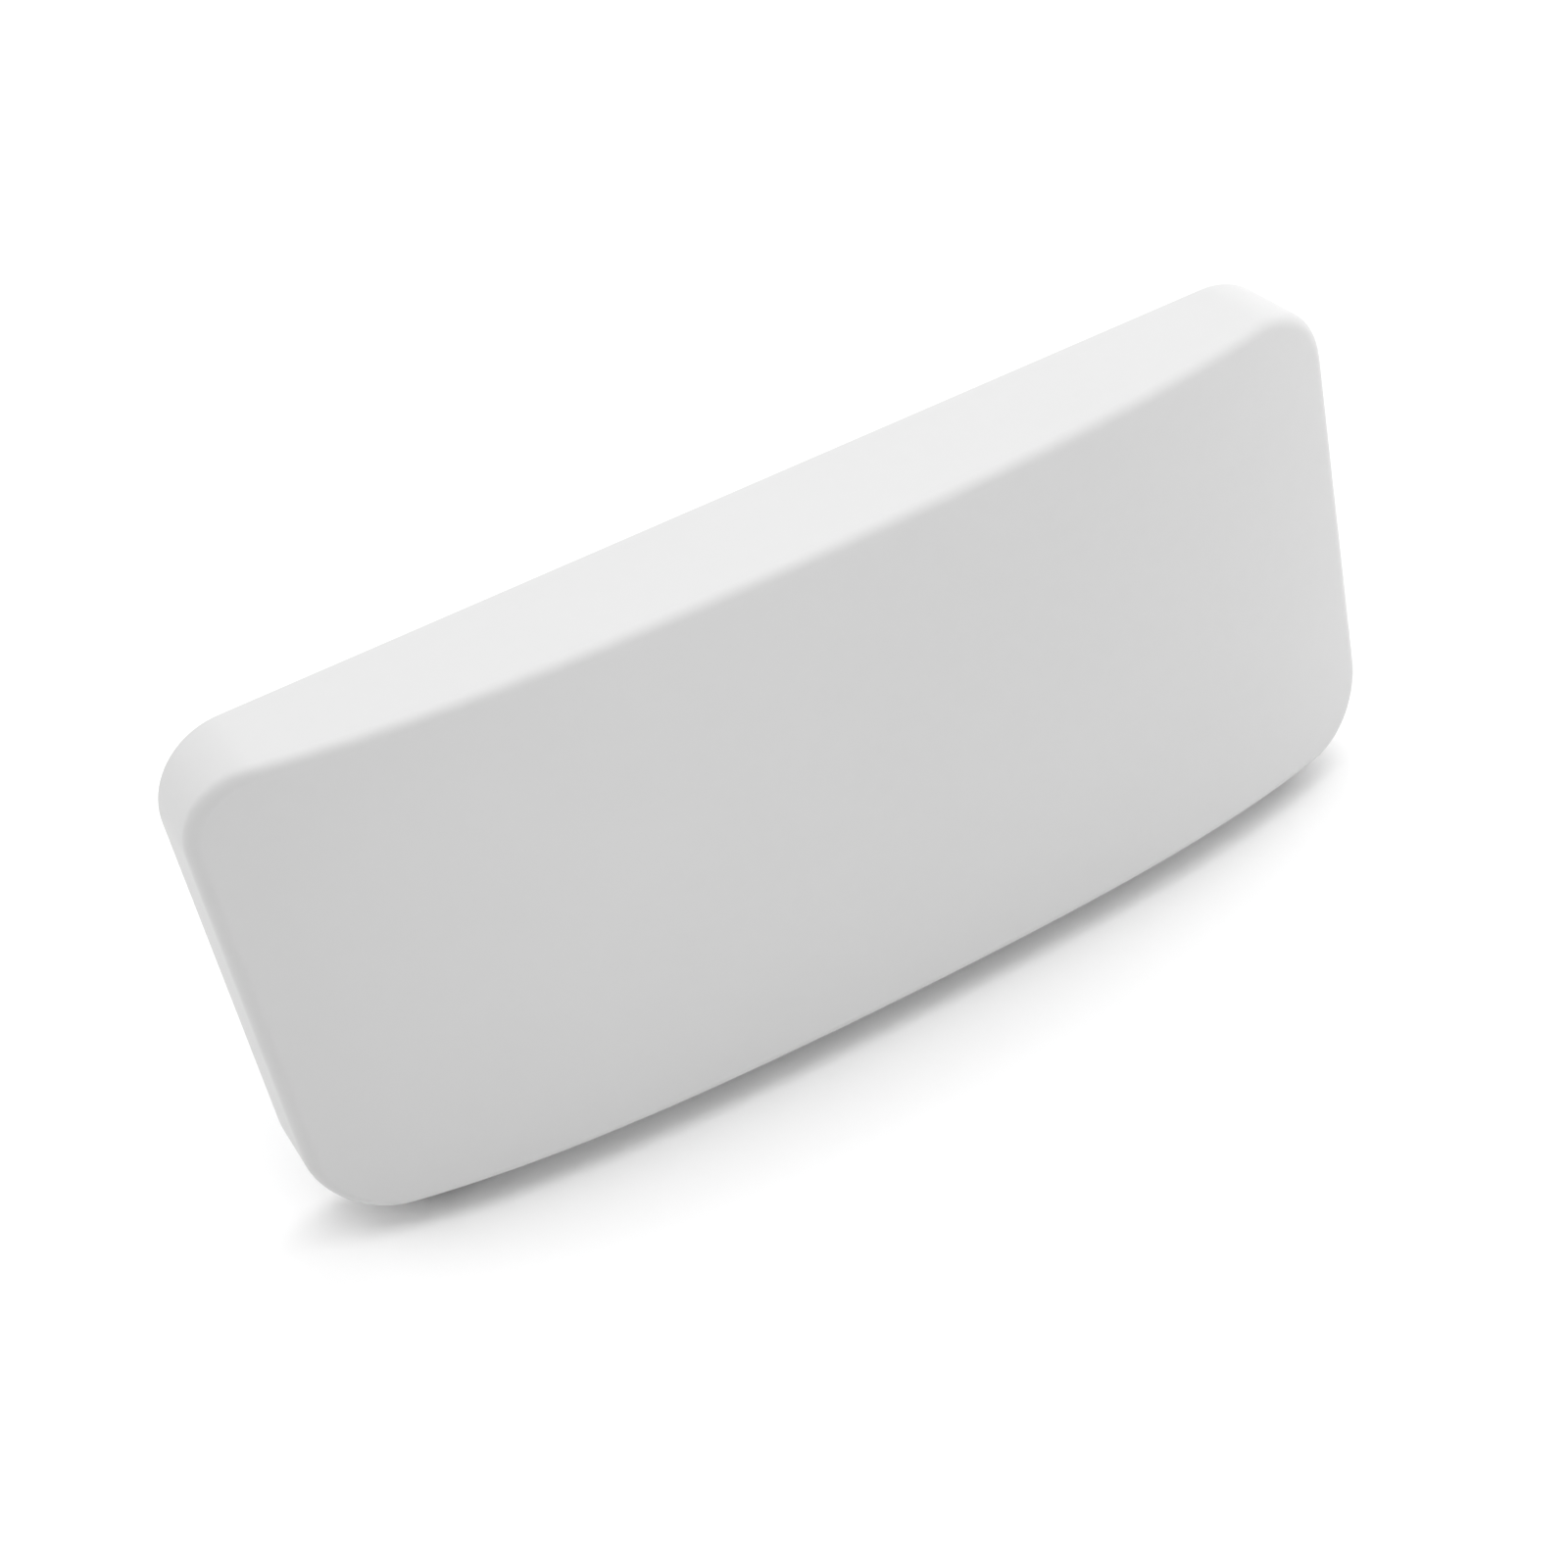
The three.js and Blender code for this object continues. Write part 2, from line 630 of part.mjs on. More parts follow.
function servicePort() {
  const [y0, y1] = PORT.y;
  const [z0, z1] = PORT.z;
  const wall = PORT.wall;
  const cup = block([PORT.back, 596], [y0, y1], [z0, z1]);
  const flange = block([595.3, 597], [-75.4, -21.4], [-76, 76]);
  const frame = [
    block([595.3, 599.5], [-75.4, -73.2], [-76, 76]),
    block([595.3, 599.5], [-24, -21.4], [-76, 76]),
    block([593.5, 599.5], [-75.4, -73.2], [68.5, 75.5]),
    block([593.5, 599.5], [-24, -21.4], [68.5, 75.5]),
  ];
  const hollow = block([PORT.back + wall, 601], [y0 + wall, y1 - wall], [z0 + wall, z1 - wall]);
  const hingeRoom = block([590, 600], [-73.2, -24], [66, 77]);
  const pinHole = rod("y", 1.3, [-77, -20], [FLAP_PIVOT.x, FLAP_PIVOT.z], 12);
  const rockerHole = block([550, 565], around(PORT_AXIS_Y, 18), [22, 56]);
  const buttonHole = rod("x", 5.5, [550, 565], [PORT_AXIS_Y, 3], ROUND);
  const jackHole = block([550, 565], around(PORT_AXIS_Y, 19), [-56, -16]);
  const body = cut(cut(join(cup, flange), hollow, hingeRoom), rockerHole, buttonHole, jackHole);
  return cut(join(body, ...frame), pinHole);
}

function serviceFlap() {
  const plate = block([597.3, 600], [-72.8, -24.4], [-75, 72]);
  const barrel = rod("y", 3, [-72.8, -24.4], [FLAP_PIVOT.x, FLAP_PIVOT.z]);
  const bore = rod("y", 1.35, [-74, -23], [FLAP_PIVOT.x, FLAP_PIVOT.z], 12);
  const fingerCut = rod("x", 9, [590, 605], [PORT_AXIS_Y, -78], 20);
  return cut(join(plate, barrel), bore, fingerCut);
}

// The rocker, drawn with its upper half pressed in.
function powerRocker() {
  const paddle = block([0, 7], around(0, 15), around(0, 30));
  const barrel = rod("y", 4, [-7.5, 7.5], [0, 0], 12);
  return join(paddle, barrel).rotateY(-0.14).translate(564.5, PORT_AXIS_Y, 39);
}

function pairingButton() {
  return join(
    rod("x", 5.1, [556.5, 565.5], [PORT_AXIS_Y, 3]),
    rod("x", 6.5, [556.5, 558.2], [PORT_AXIS_Y, 3]),
  );
}

// The control board stands behind the port and carries its two data sockets.
function controlBoard() {
  const board = block([549, 550.6], [-76, -30], [-70, 70]);
  const sockets = [-45, -27].map((z) =>
    cut(
      block([550.5, 567], around(PORT_AXIS_Y, 17), around(z, 15)),
      block([556, 568], around(PORT_AXIS_Y, 12), around(z, 9)),
    ),
  );
  const chips = [
    block([545, 549.1], around(PORT_AXIS_Y, 24), [28, 52]),
    block([541, 549.1], around(PORT_AXIS_Y, 30), [-64, -50]),
    block([550.5, 554], around(PORT_AXIS_Y, 8), around(3, 8)),
  ];
  return join(board, ...sockets, ...chips);
}

place("service_port_housing", servicePort(), MATERIAL.plastic);
place("service_flap", serviceFlap(), MATERIAL.cover);
place("flap_pin", rod("y", 1.2, [-75, -22], [FLAP_PIVOT.x, FLAP_PIVOT.z], 12), MATERIAL.steel);
place("power_rocker", powerRocker(), MATERIAL.black);
place("pairing_button", pairingButton(), MATERIAL.pale);
place("control_board", controlBoard(), MATERIAL.board);

// ---------------------------------------------------------------- gland box

function glandBox() {
  const [x0, x1] = GLAND_BOX.x;
  const [y0, y1] = GLAND_BOX.y;
  const wall = GLAND_BOX.wall;
  const box = block([x0, x1], [y0, y1], [-256.5, GLAND_BOX.top]);
  const flange = block([x0 - 4.5, x1 + 4.5], [y0 - 2.8, -21], [-254.5, -252.5 - FIT]);
  const hollow = block([x0 + wall, x1 - wall], [y0 + wall, y1 - wall], [-260, GLAND_BOX.top - wall]);
  const holes = GLAND_XS.map((x) => rod("z", GLAND_THREAD_RADIUS + FIT, [-215, -200], [x, -50.7], 20));
  return cut(join(box, flange), hollow, ...holes);
}

// A cable gland with its dome nut down and its lock nut above the plate, bored right through.
function cableGland(x) {
  const thread = GLAND_THREAD_RADIUS;
  const outside = [
    [7, -236], [10.5, -236], [14, -230], [14, -222], [16, -220], [16, -208.3], [thread, -208.3],
    [thread, -205.2], [17, -205.2], [17, -199], [thread, -199], [thread, -196.5], [7, -196.5],
  ];
  const ring = [...outside, outside[0]].map(([r, z]) => new THREE.Vector2(r, z));
  return new THREE.LatheGeometry(ring, 12).rotateX(Math.PI / 2).translate(x, -50.7, 0);
}

place("gland_box", glandBox(), MATERIAL.pan);
GLAND_XS.forEach((x, index) => place(`cable_gland_${index + 1}`, cableGland(x), MATERIAL.plastic));

// ---------------------------------------------------------------- held cables

const FIRST_PLUS_X = FIRST_MODULE_X - TERMINAL_OFFSET;
const LAST_MINUS_X = FIRST_MODULE_X + (MODULE_COUNT - 1) * MODULE_PITCH + TERMINAL_OFFSET;

const plusRoute = [
  [FIRST_PLUS_X, -142.8, TERMINAL_Z], [FIRST_PLUS_X, -142.8, 208], [FIRST_PLUS_X, -140.5, 222],
  [FIRST_PLUS_X + 2, -133, 235], [FIRST_PLUS_X + 16, -110, 241.5], [FIRST_PLUS_X + 45, -80, 241.5],
  [-300, -75, 241], [60, -75, 241], [420, -75, 241], [462, -75, 236], [476, -72, 212],
  [479, -64, 180], [479, -60, 160], [479, -60, 144.5],
];
const minusRoute = [
  [LAST_MINUS_X, -142.8, TERMINAL_Z], [LAST_MINUS_X, -142.8, 208], [LAST_MINUS_X, -140.5, 222],
  [LAST_MINUS_X + 2, -133, 235], [LAST_MINUS_X + 16, -112, 241.5], [LAST_MINUS_X + 50, -96, 241.5],
  [420, -96, 241], [476, -93, 236], [494, -80, 212], [497, -66, 180], [497, -60, 160],
  [497, -60, 144.5],
];
const dataRoute = [
  [-505, -51, -124], [-505, -51, -150], [-505, -50, -200], [-503, -44, -228], [-490, -38, -240],
  [-430, -35, -242], [0, -31, -242], [250, -30, -242], [276, -30, -236], [286, -30, -214],
  [298, -30, -198], [320, -30, -194], [520, -30, -194], [558, -32, -193.5],
  [571, -38, -175], [568, -44, -130], [557, -50, -95], [550, -50, -82], [550, -50, -73],
];

place("cable_positive", tube(plusRoute, 4.5, 44), MATERIAL.red);
place("cable_negative", tube(minusRoute, 4.5, 30), MATERIAL.black);
place("cable_data", tube(dataRoute, 3, 48), MATERIAL.orange);

export default unit;
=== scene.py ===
"""The looks of a wall battery unit: a seamless white cover over a packed chassis.

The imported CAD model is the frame. This script puts materials on it, puts fine-meshed pieces in
place of the coarse ones, and sets the floor, the light and the camera. The scene is in metres,
and pieces are built in millimetres.
"""

import json
import math

import bmesh
import bpy
from mathutils import Matrix, Vector


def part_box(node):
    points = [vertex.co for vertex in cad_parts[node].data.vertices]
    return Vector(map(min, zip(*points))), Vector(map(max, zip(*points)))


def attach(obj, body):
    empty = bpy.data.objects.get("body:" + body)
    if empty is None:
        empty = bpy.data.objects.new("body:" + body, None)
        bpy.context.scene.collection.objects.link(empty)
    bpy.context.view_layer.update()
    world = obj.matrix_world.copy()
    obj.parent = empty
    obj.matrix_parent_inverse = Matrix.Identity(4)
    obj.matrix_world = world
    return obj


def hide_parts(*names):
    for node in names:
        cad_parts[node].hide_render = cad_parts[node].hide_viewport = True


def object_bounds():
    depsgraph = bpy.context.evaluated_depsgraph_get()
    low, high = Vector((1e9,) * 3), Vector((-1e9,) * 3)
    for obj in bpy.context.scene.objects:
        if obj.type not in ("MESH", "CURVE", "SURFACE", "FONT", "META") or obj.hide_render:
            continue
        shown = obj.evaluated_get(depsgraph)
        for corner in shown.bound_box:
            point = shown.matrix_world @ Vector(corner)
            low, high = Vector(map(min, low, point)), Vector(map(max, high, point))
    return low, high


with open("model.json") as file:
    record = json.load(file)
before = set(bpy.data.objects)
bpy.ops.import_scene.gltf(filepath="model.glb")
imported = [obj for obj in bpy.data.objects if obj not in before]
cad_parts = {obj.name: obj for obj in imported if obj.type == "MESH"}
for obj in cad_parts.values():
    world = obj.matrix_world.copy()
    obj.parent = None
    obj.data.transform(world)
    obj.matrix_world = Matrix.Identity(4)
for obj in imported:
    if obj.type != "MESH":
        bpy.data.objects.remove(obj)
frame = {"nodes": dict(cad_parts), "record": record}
cad_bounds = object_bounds()

MM = 0.001

# The camera: where it aims, from which angles and how far, its tilt to the side and its lens.
AIM = Vector((-0.041, -0.076, -0.030))
LOOK_AZIMUTH = -19.57
LOOK_ELEVATION = 34.08
DISTANCE = 2.906
ROLL = -13.73
LENS = 69.1

# ---- places, from the frame

COVER_LOW, COVER_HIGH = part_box("front_cover")
HALF_LENGTH = COVER_HIGH.x
HALF_HEIGHT = COVER_HIGH.z
RIM_Y = COVER_HIGH.y
MIDDLE_DEPTH = RIM_Y - COVER_LOW.y
CROWN = 78 * MM  # how far the front falls back from the middle to an end
CROWN_SQUARE_SHARE = 0.424  # the part of that fall that goes with the square of the distance
CORNER_RADIUS = 79 * MM
EDGE_RADIUS = 13 * MM
SKIN = 3 * MM  # the thickness of the cover's wall

# ---- materials

WHITE = (1, 1, 1, 1)
BLACK = (0, 0, 0, 1)


def put(node, **sockets):
    """Sets a shader node's inputs, each named with _ for a space."""
    for name, value in sockets.items():
        node.inputs[name.replace("_", " ")].default_value = value
    return node


class Surface:
    """A material under construction, with short names for the nodes it needs."""

    def __init__(self, name, colour, roughness, metallic=0.0):
        self.material = bpy.data.materials.new(name)
        self.material.use_nodes = True
        self.tree = self.material.node_tree
        self.shader = self.tree.nodes["Principled BSDF"]
        self.colour = colour
        self.roughness = roughness
        self.set(Base_Color=(*colour, 1), Roughness=roughness, Metallic=metallic)
        self.place = self.node("ShaderNodeTexCoord").outputs["Object"]
        self.height = None

    def set(self, **sockets):
        put(self.shader, **sockets)
        return self

    def node(self, kind, **settings):
        made = self.tree.nodes.new(kind)
        for name, value in settings.items():
            setattr(made, name, value)
        return made

    def link(self, output, socket):
        self.tree.links.new(output, socket)

    def noise(self, size, detail=3.0, stretch=(1, 1, 1)):
        """Noise whose features are about size metres across, drawn out by stretch."""
        mapping = put(self.node("ShaderNodeMapping"), Scale=[1 / s for s in stretch])
        noise = put(self.node("ShaderNodeTexNoise"), Scale=1 / size, Detail=detail)
        self.link(self.place, mapping.inputs["Vector"])
        self.link(mapping.outputs["Vector"], noise.inputs["Vector"])
        return noise.outputs["Fac"]

    def cells(self, size):
        """The distance to the nearest of points about size metres apart."""
        cells = put(self.node("ShaderNodeTexVoronoi"), Scale=1 / size)
        self.link(self.place, cells.inputs["Vector"])
        return cells.outputs["Distance"]

    def spread(self, factor, low, high, span=(0.35, 0.65)):
        """A value that runs from low to high as the factor crosses span."""
        ramp = self.node("ShaderNodeMapRange")
        put(ramp, From_Min=span[0], From_Max=span[1], To_Min=low, To_Max=high)
        self.link(factor, ramp.inputs["Value"])
        return ramp.outputs["Result"]

    def tint(self, factor, colour, amount=1.0):
        """Paints colour over the base where the factor is high."""
        mix = self.node("ShaderNodeMix", data_type="RGBA")
        base = self.shader.inputs["Base Color"]
        if base.is_linked:
            self.link(base.links[0].from_socket, mix.inputs[6])
        else:
            mix.inputs[6].default_value = base.default_value
        mix.inputs[7].default_value = (*colour, 1)
        self.link(self.spread(factor, 0, amount), mix.inputs[0])
        self.link(mix.outputs[2], base)
        return self

    def shade(self, factor, by, amount):
        """Tints with the material's own colour made darker or lighter."""
        return self.tint(factor, [min(1.0, channel * by) for channel in self.colour], amount)

    def vary_roughness(self, factor, amount):
        worn = self.spread(factor, self.roughness - amount, self.roughness + amount)
        self.link(worn, self.shader.inputs["Roughness"])
        return self

    def bump(self, factor, depth, strength):
        """Raises the surface by up to depth metres where the factor is high."""
        bump = put(self.node("ShaderNodeBump"), Distance=depth, Strength=strength)
        self.link(factor, bump.inputs["Height"])
        if self.height:
            self.link(self.height, bump.inputs["Normal"])
        self.height = bump.outputs["Normal"]
        self.link(self.height, self.shader.inputs["Normal"])
        return self


def moulded(name, colour, roughness, depth=0.00003):
    """Injection-moulded plastic with a fine spark-eroded grain."""
    made = Surface(name, colour, roughness)
    made.shade(made.noise(0.12, 4), 0.93, 0.6)
    made.vary_roughness(made.noise(0.05, 5), 0.05)
    return made.bump(made.noise(0.0009, 2), depth, 0.5)


def powder_coat(name, colour, roughness):
    """Stoved powder paint with its orange peel."""
    made = Surface(name, colour, roughness)
    made.shade(made.noise(0.09, 4), 0.86, 0.7)
    made.vary_roughness(made.noise(0.03, 4), 0.07)
    made.bump(made.cells(0.0016), 0.00006, 0.5)
    made.bump(made.noise(0.0006, 2), 0.00002, 0.4)
    return made.set(Coat_Weight=0.15)


def brushed(name, colour, roughness, along):
    """Rolled or brushed metal, its lines running along the stretched axis."""
    made = Surface(name, colour, roughness, 1.0)
    lines = made.noise(0.0007, 3, along)
    made.shade(made.noise(0.06, 5), 0.8, 0.7)
    made.vary_roughness(lines, 0.1)
    return made.bump(lines, 0.00002, 0.5)


def galvanised(name, colour, roughness):
    """Zinc plating with its faint crystal patches."""
    made = Surface(name, colour, roughness, 1.0)
    patches = made.cells(0.012)
    made.shade(patches, 0.78, 0.6)
    made.vary_roughness(patches, 0.08)
    return made.bump(made.noise(0.0012, 3), 0.00002, 0.4)


def rubbery(name, colour, roughness):
    """Rubber or soft cable sheath, dusty in patches."""
    made = Surface(name, colour, roughness)
    made.shade(made.noise(0.02, 4), 1.9, 0.5)
    made.vary_roughness(made.noise(0.01, 4), 0.08)
    return made.bump(made.noise(0.0008, 3), 0.00005, 0.5)


def circuit_board(name, colour):
    """Green solder mask with copper tracks showing through it in bundles, and tinned holes."""
    made = Surface(name, colour, 0.35)
    for turn, low in ((0, 0.5), (math.pi / 2, 0.42)):
        tracks = made.node("ShaderNodeTexBrick", offset=0.31, squash=1.6)
        put(tracks, Scale=1, Brick_Width=0.031, Row_Height=0.0026, Mortar_Size=0.00032)
        put(tracks, Color1=BLACK, Color2=BLACK, Mortar=WHITE)
        upright = put(made.node("ShaderNodeMapping"), Rotation=(math.pi / 2, turn, 0))
        made.link(made.place, upright.inputs["Vector"])
        made.link(upright.outputs["Vector"], tracks.inputs["Vector"])
        where = made.node("ShaderNodeMath", operation="MULTIPLY")
        made.link(tracks.outputs["Color"], where.inputs[0])
        made.link(made.spread(made.noise(0.03, 1), 0, 1, (low, low + 0.03)), where.inputs[1])
        made.shade(where.outputs[0], 2.3, 0.8)
        made.bump(where.outputs[0], 0.00004, 0.5)
    holes = made.cells(0.009)
    made.tint(made.spread(holes, 1, 0, (0.05, 0.09)), (0.62, 0.6, 0.52), 1.0)
    made.vary_roughness(made.noise(0.02, 3), 0.06)
    return made.set(Coat_Weight=0.4, Coat_Roughness=0.15)


def wrapped_film(name, colour):
    """Blue insulating film shrunk on to a cell can."""
    made = Surface(name, colour, 0.32)
    made.shade(made.noise(0.05, 4), 0.7, 0.7)
    made.bump(made.noise(0.014, 2, (1, 1, 3)), 0.0003, 0.25)
    made.bump(made.noise(0.0006, 2), 0.00001, 0.4)
    made.vary_roughness(made.noise(0.03, 4), 0.07)
    return made.set(Coat_Weight=0.3, Coat_Roughness=0.2)


def speckled(name, colour, roughness, fleck):
    """Fired ceramic or pressed ferrite with flecks of another tone."""
    made = Surface(name, colour, roughness)
    made.tint(made.noise(0.0015, 4), fleck, 0.6)
    made.vary_roughness(made.noise(0.01, 3), 0.06)
    return made.bump(made.noise(0.0009, 4), 0.00006, 0.6)


def tarnished_copper(name, colour):
    """Drawn copper, browned in patches."""
    made = Surface(name, colour, 0.3, 1.0)
    made.tint(made.noise(0.03, 6), (0.3, 0.11, 0.05), 0.6)
    made.vary_roughness(made.noise(0.008, 5), 0.1)
    return made.bump(made.noise(0.0008, 3, (30, 1, 1)), 0.00002, 0.5)


def cover_shell(name, colour, roughness):
    """Satin white plastic: an even tone, a very fine grain and the faintest moulding flow."""
    made = Surface(name, colour, roughness)
    made.shade(made.noise(0.35, 3), 0.985, 0.8)
    made.shade(made.cells(0.021), 1.006, 0.3)
    made.vary_roughness(made.noise(0.18, 4), 0.03)
    made.bump(made.noise(0.0011, 2), 0.00002, 0.35)
    made.bump(made.noise(0.22, 1), 0.0006, 0.15)
    return made.set(Specular_IOR_Level=0.4)


RECIPES = (
    (cover_shell, "cover_white", (0.66, 0.66, 0.66), 0.5),
    (powder_coat, "pan_coat", (0.33, 0.34, 0.35), 0.5),
    (powder_coat, "bracket_coat", (0.12, 0.125, 0.13), 0.5),
    (rubbery, "rubber", (0.014, 0.014, 0.015), 0.8),
    (galvanised, "zinc_steel", (0.58, 0.59, 0.6), 0.36),
    (wrapped_film, "cell_wrap", (0.02, 0.1, 0.3)),
    (brushed, "frame_aluminium", (0.72, 0.73, 0.74), 0.34, (1, 1, 40)),
    (brushed, "sink_aluminium", (0.6, 0.61, 0.63), 0.38, (1, 1, 60)),
    (moulded, "guard_plastic", (0.018, 0.019, 0.021), 0.42),
    (tarnished_copper, "copper", (0.86, 0.42, 0.25)),
    (circuit_board, "board_green", (0.006, 0.085, 0.03)),
    (moulded, "dark_plastic", (0.028, 0.03, 0.033), 0.46),
    (moulded, "black_plastic", (0.009, 0.009, 0.01), 0.3, 0.00001),
    (moulded, "pale_plastic", (0.55, 0.56, 0.56), 0.42),
    (speckled, "fuse_ceramic", (0.7, 0.67, 0.6), 0.6, (0.5, 0.46, 0.4)),
    (moulded, "lever_orange", (0.7, 0.17, 0.01), 0.4),
    (speckled, "ferrite", (0.035, 0.037, 0.04), 0.55, (0.09, 0.09, 0.1)),
    (rubbery, "cable_red", (0.42, 0.015, 0.012), 0.45),
    (rubbery, "cable_orange", (0.62, 0.13, 0.01), 0.45),
)
MATERIALS = {name: make(name, *rest).material for make, name, *rest in RECIPES}

slots = {row["node"]: row["material_slot"] for row in frame["record"]["subparts"]}


def dress(obj, slot, sharp=35):
    """Gives a piece its material, and smooth shading across edges flatter than sharp degrees."""
    obj.data.materials.clear()
    obj.data.materials.append(MATERIALS[slot])
    obj.data.shade_smooth()
    obj.data.set_sharp_from_angle(angle=math.radians(sharp))


for node, obj in frame["nodes"].items():
    dress(obj, slots[node])
    bevel = obj.modifiers.new("worn edges", "BEVEL")
    bevel.width = 0.4 * MM
    bevel.segments = 2
    bevel.limit_method = "ANGLE"
    bevel.angle_limit = math.radians(50)
    bevel.use_clamp_overlap = True

# ---- making pieces


def spans(node):
    """The CAD node's reach along X, Y and Z, in millimetres."""
    low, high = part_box(node)
    return [(low[i] / MM, high[i] / MM) for i in range(3)]


def middle(span):
    return (span[0] + span[1]) / 2


def about(centre, width):
    return (centre - width / 2, centre + width / 2)


def circle(count):
    """The cosine and sine of each of count equal steps of a full turn."""
    angles = [2 * math.pi * step / count for step in range(count)]
    return [(math.cos(angle), math.sin(angle)) for angle in angles]


def loft(mesh, rings, closed=False, capped=True):
    """A skin over rings of points, closed on itself or with its two ends capped."""
    rings = [[mesh.verts.new(point) for point in ring] for ring in rings]
    for near, far in zip(rings, rings[1:] + rings[:1] if closed else rings[1:]):
        for i in range(len(near)):
            j = (i + 1) % len(near)
            mesh.faces.new((near[i], near[j], far[j], far[i]))
    if capped and not closed:
        mesh.faces.new(rings[0])
        mesh.faces.new(rings[-1])
    return rings


def linked(name, data):
    """A new object in the scene."""
    obj = bpy.data.objects.new(name, data)
    bpy.context.collection.objects.link(obj)
    return obj


def as_object(name, built, scale=1.0):
    """A finished bmesh as an object, its faces turned outwards."""
    bmesh.ops.recalc_face_normals(built, faces=built.faces)
    built.transform(Matrix.Scale(scale, 4))
    mesh = bpy.data.meshes.new(name)
    built.to_mesh(mesh)
    built.free()
    return linked(name, mesh)


class Piece:
    """A piece of the object under construction, in millimetres."""

    def __init__(self):
        self.mesh = bmesh.new()

    def box(self, x, y, z, edge=0.5, turn=None):
        """A box from its three spans, with rounded edges."""
        before = set(self.mesh.verts)
        bmesh.ops.create_cube(self.mesh, size=1)
        verts = [v for v in self.mesh.verts if v not in before]
        size = Matrix.Diagonal((x[1] - x[0], y[1] - y[0], z[1] - z[0], 1))
        place = Matrix.Translation((middle(x), middle(y), middle(z)))
        bmesh.ops.transform(self.mesh, matrix=place @ size, verts=verts)
        edges = list(dict.fromkeys(e for v in verts for e in v.link_edges))
        if edge:
            bmesh.ops.bevel(
                self.mesh, geom=edges, offset=edge, segments=3, profile=0.5, affect="EDGES"
            )
        if turn:
            made = [v for v in self.mesh.verts if v not in before]
            bmesh.ops.transform(self.mesh, matrix=turn, verts=made)
        return self

    def lathe(self, profile, centre, axis="y", sides=40):
        """Turns (radius, distance along the axis) points about a line through centre."""
        rings = []
        for radius, along in profile:
            turns = circle(sides if radius > 0 else 1)
            places = [lay_along(axis, centre, (radius * c, radius * s), along) for c, s in turns]
            rings.append([self.mesh.verts.new(place) for place in places])
        for lower, upper in zip(rings, rings[1:]):
            for side in range(sides):
                nxt = (side + 1) % sides
                corners = [lower[side % len(lower)], lower[nxt % len(lower)]]
                corners += [upper[nxt % len(upper)], upper[side % len(upper)]]
                unique = list(dict.fromkeys(corners))
                if len(unique) > 2:
                    self.mesh.faces.new(unique)
        return self

    def tube(self, points, radius, sides=14, closed=False):
        """A round tube along a dense line of points."""
        points = [Vector(p) for p in points]
        count = len(points)
        rings = []
        normal = None
        for i, point in enumerate(points):
            ahead = points[(i + 1) % count] if closed or i + 1 < count else point
            behind = points[i - 1] if closed or i else point
            forward = (ahead - behind).normalized()
            start = forward.orthogonal() if normal is None else normal
            normal = (start - forward * start.dot(forward)).normalized()
            across = forward.cross(normal)
            rings.append([point + radius * (c * normal + s * across) for c, s in circle(sides)])
        loft(self.mesh, rings, closed)
        return self

    def screw(self, centre, axis="y", radius=3.5, sign=-1):
        """A pan-head screw with a recess, its head standing out along sign times the axis."""
        head = [(0, 0.5), (0.45, 0.5), (0.5, 1.1), (0.62, 1.35)]
        head += [(0.8, 1.25), (0.95, 0.85), (1, 0.3), (1, 0)]
        profile = [(r * radius, sign * h * radius * 0.5) for r, h in head]
        return self.lathe(profile, centre, axis, 24)

    def nut(self, centre, axis="y", radius=5.5, height=4.5, sign=-1):
        """A hexagonal nut on a round washer, with its stud's rounded end."""
        washer = [(radius * 1.25, 0), (radius * 1.25, sign * 0.9), (0, sign * 0.9)]
        self.lathe([(0, 0)] + washer, centre, axis, 32)
        hexagon = [(0.9, 0.9), (1, 1.2), (1, height - 0.4), (0.88, height), (0, height)]
        self.lathe([(r * radius, sign * h) for r, h in hexagon], centre, axis, 6)
        stud = [(0.52, height), (0.52, height + 1.6), (0.364, height + 2.2), (0, height + 2.2)]
        return self.lathe([(r * radius, sign * h) for r, h in stud], centre, axis, 20)

    def bare(self, name):
        """The piece as an object without a material."""
        return as_object(name, self.mesh, MM)

    def finish(self, name, slot, *nodes, body="chassis", sharp=35):
        """The piece as an object that rides on a body and stands for the given CAD nodes."""
        bmesh.ops.remove_doubles(self.mesh, verts=self.mesh.verts, dist=1e-4)
        return settle(self.bare(name), slot, body, nodes, sharp)


def settle(obj, slot, body, nodes, sharp):
    dress(obj, slot, sharp)
    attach(obj, body)
    if nodes:
        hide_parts(*nodes)
    return obj


def lay_along(axis, centre, across, along):
    """A point off a line along the axis: across is its offset in the other two row axes."""
    a, b = across
    x, y, z = centre
    if axis == "x":
        return (x + along, y + a, z + b)
    if axis == "y":
        return (x + a, y + along, z + b)
    return (x + a, y + b, z + along)


def smooth_line(points, steps):
    """A centripetal Catmull-Rom curve through the points, as a dense line."""
    points = [Vector(p) for p in points]
    first = points[0] * 2 - points[1]
    last = points[-1] * 2 - points[-2]
    padded = [first, *points, last]
    line = []
    for p0, p1, p2, p3 in zip(padded, padded[1:], padded[2:], padded[3:]):
        t1 = (p1 - p0).length ** 0.5
        t2 = t1 + (p2 - p1).length ** 0.5
        t3 = t2 + (p3 - p2).length ** 0.5
        for step in range(steps):
            t = t1 + (t2 - t1) * step / steps

            def blend(p, q, start, end):
                return p * ((end - t) / (end - start)) + q * ((t - start) / (end - start))

            early = blend(blend(p0, p1, 0, t1), blend(p1, p2, t1, t2), 0, t2)
            late = blend(blend(p1, p2, t1, t2), blend(p2, p3, t2, t3), t1, t3)
            line.append(blend(early, late, t1, t2))
    return line + [points[-1]]


# ---- the cover


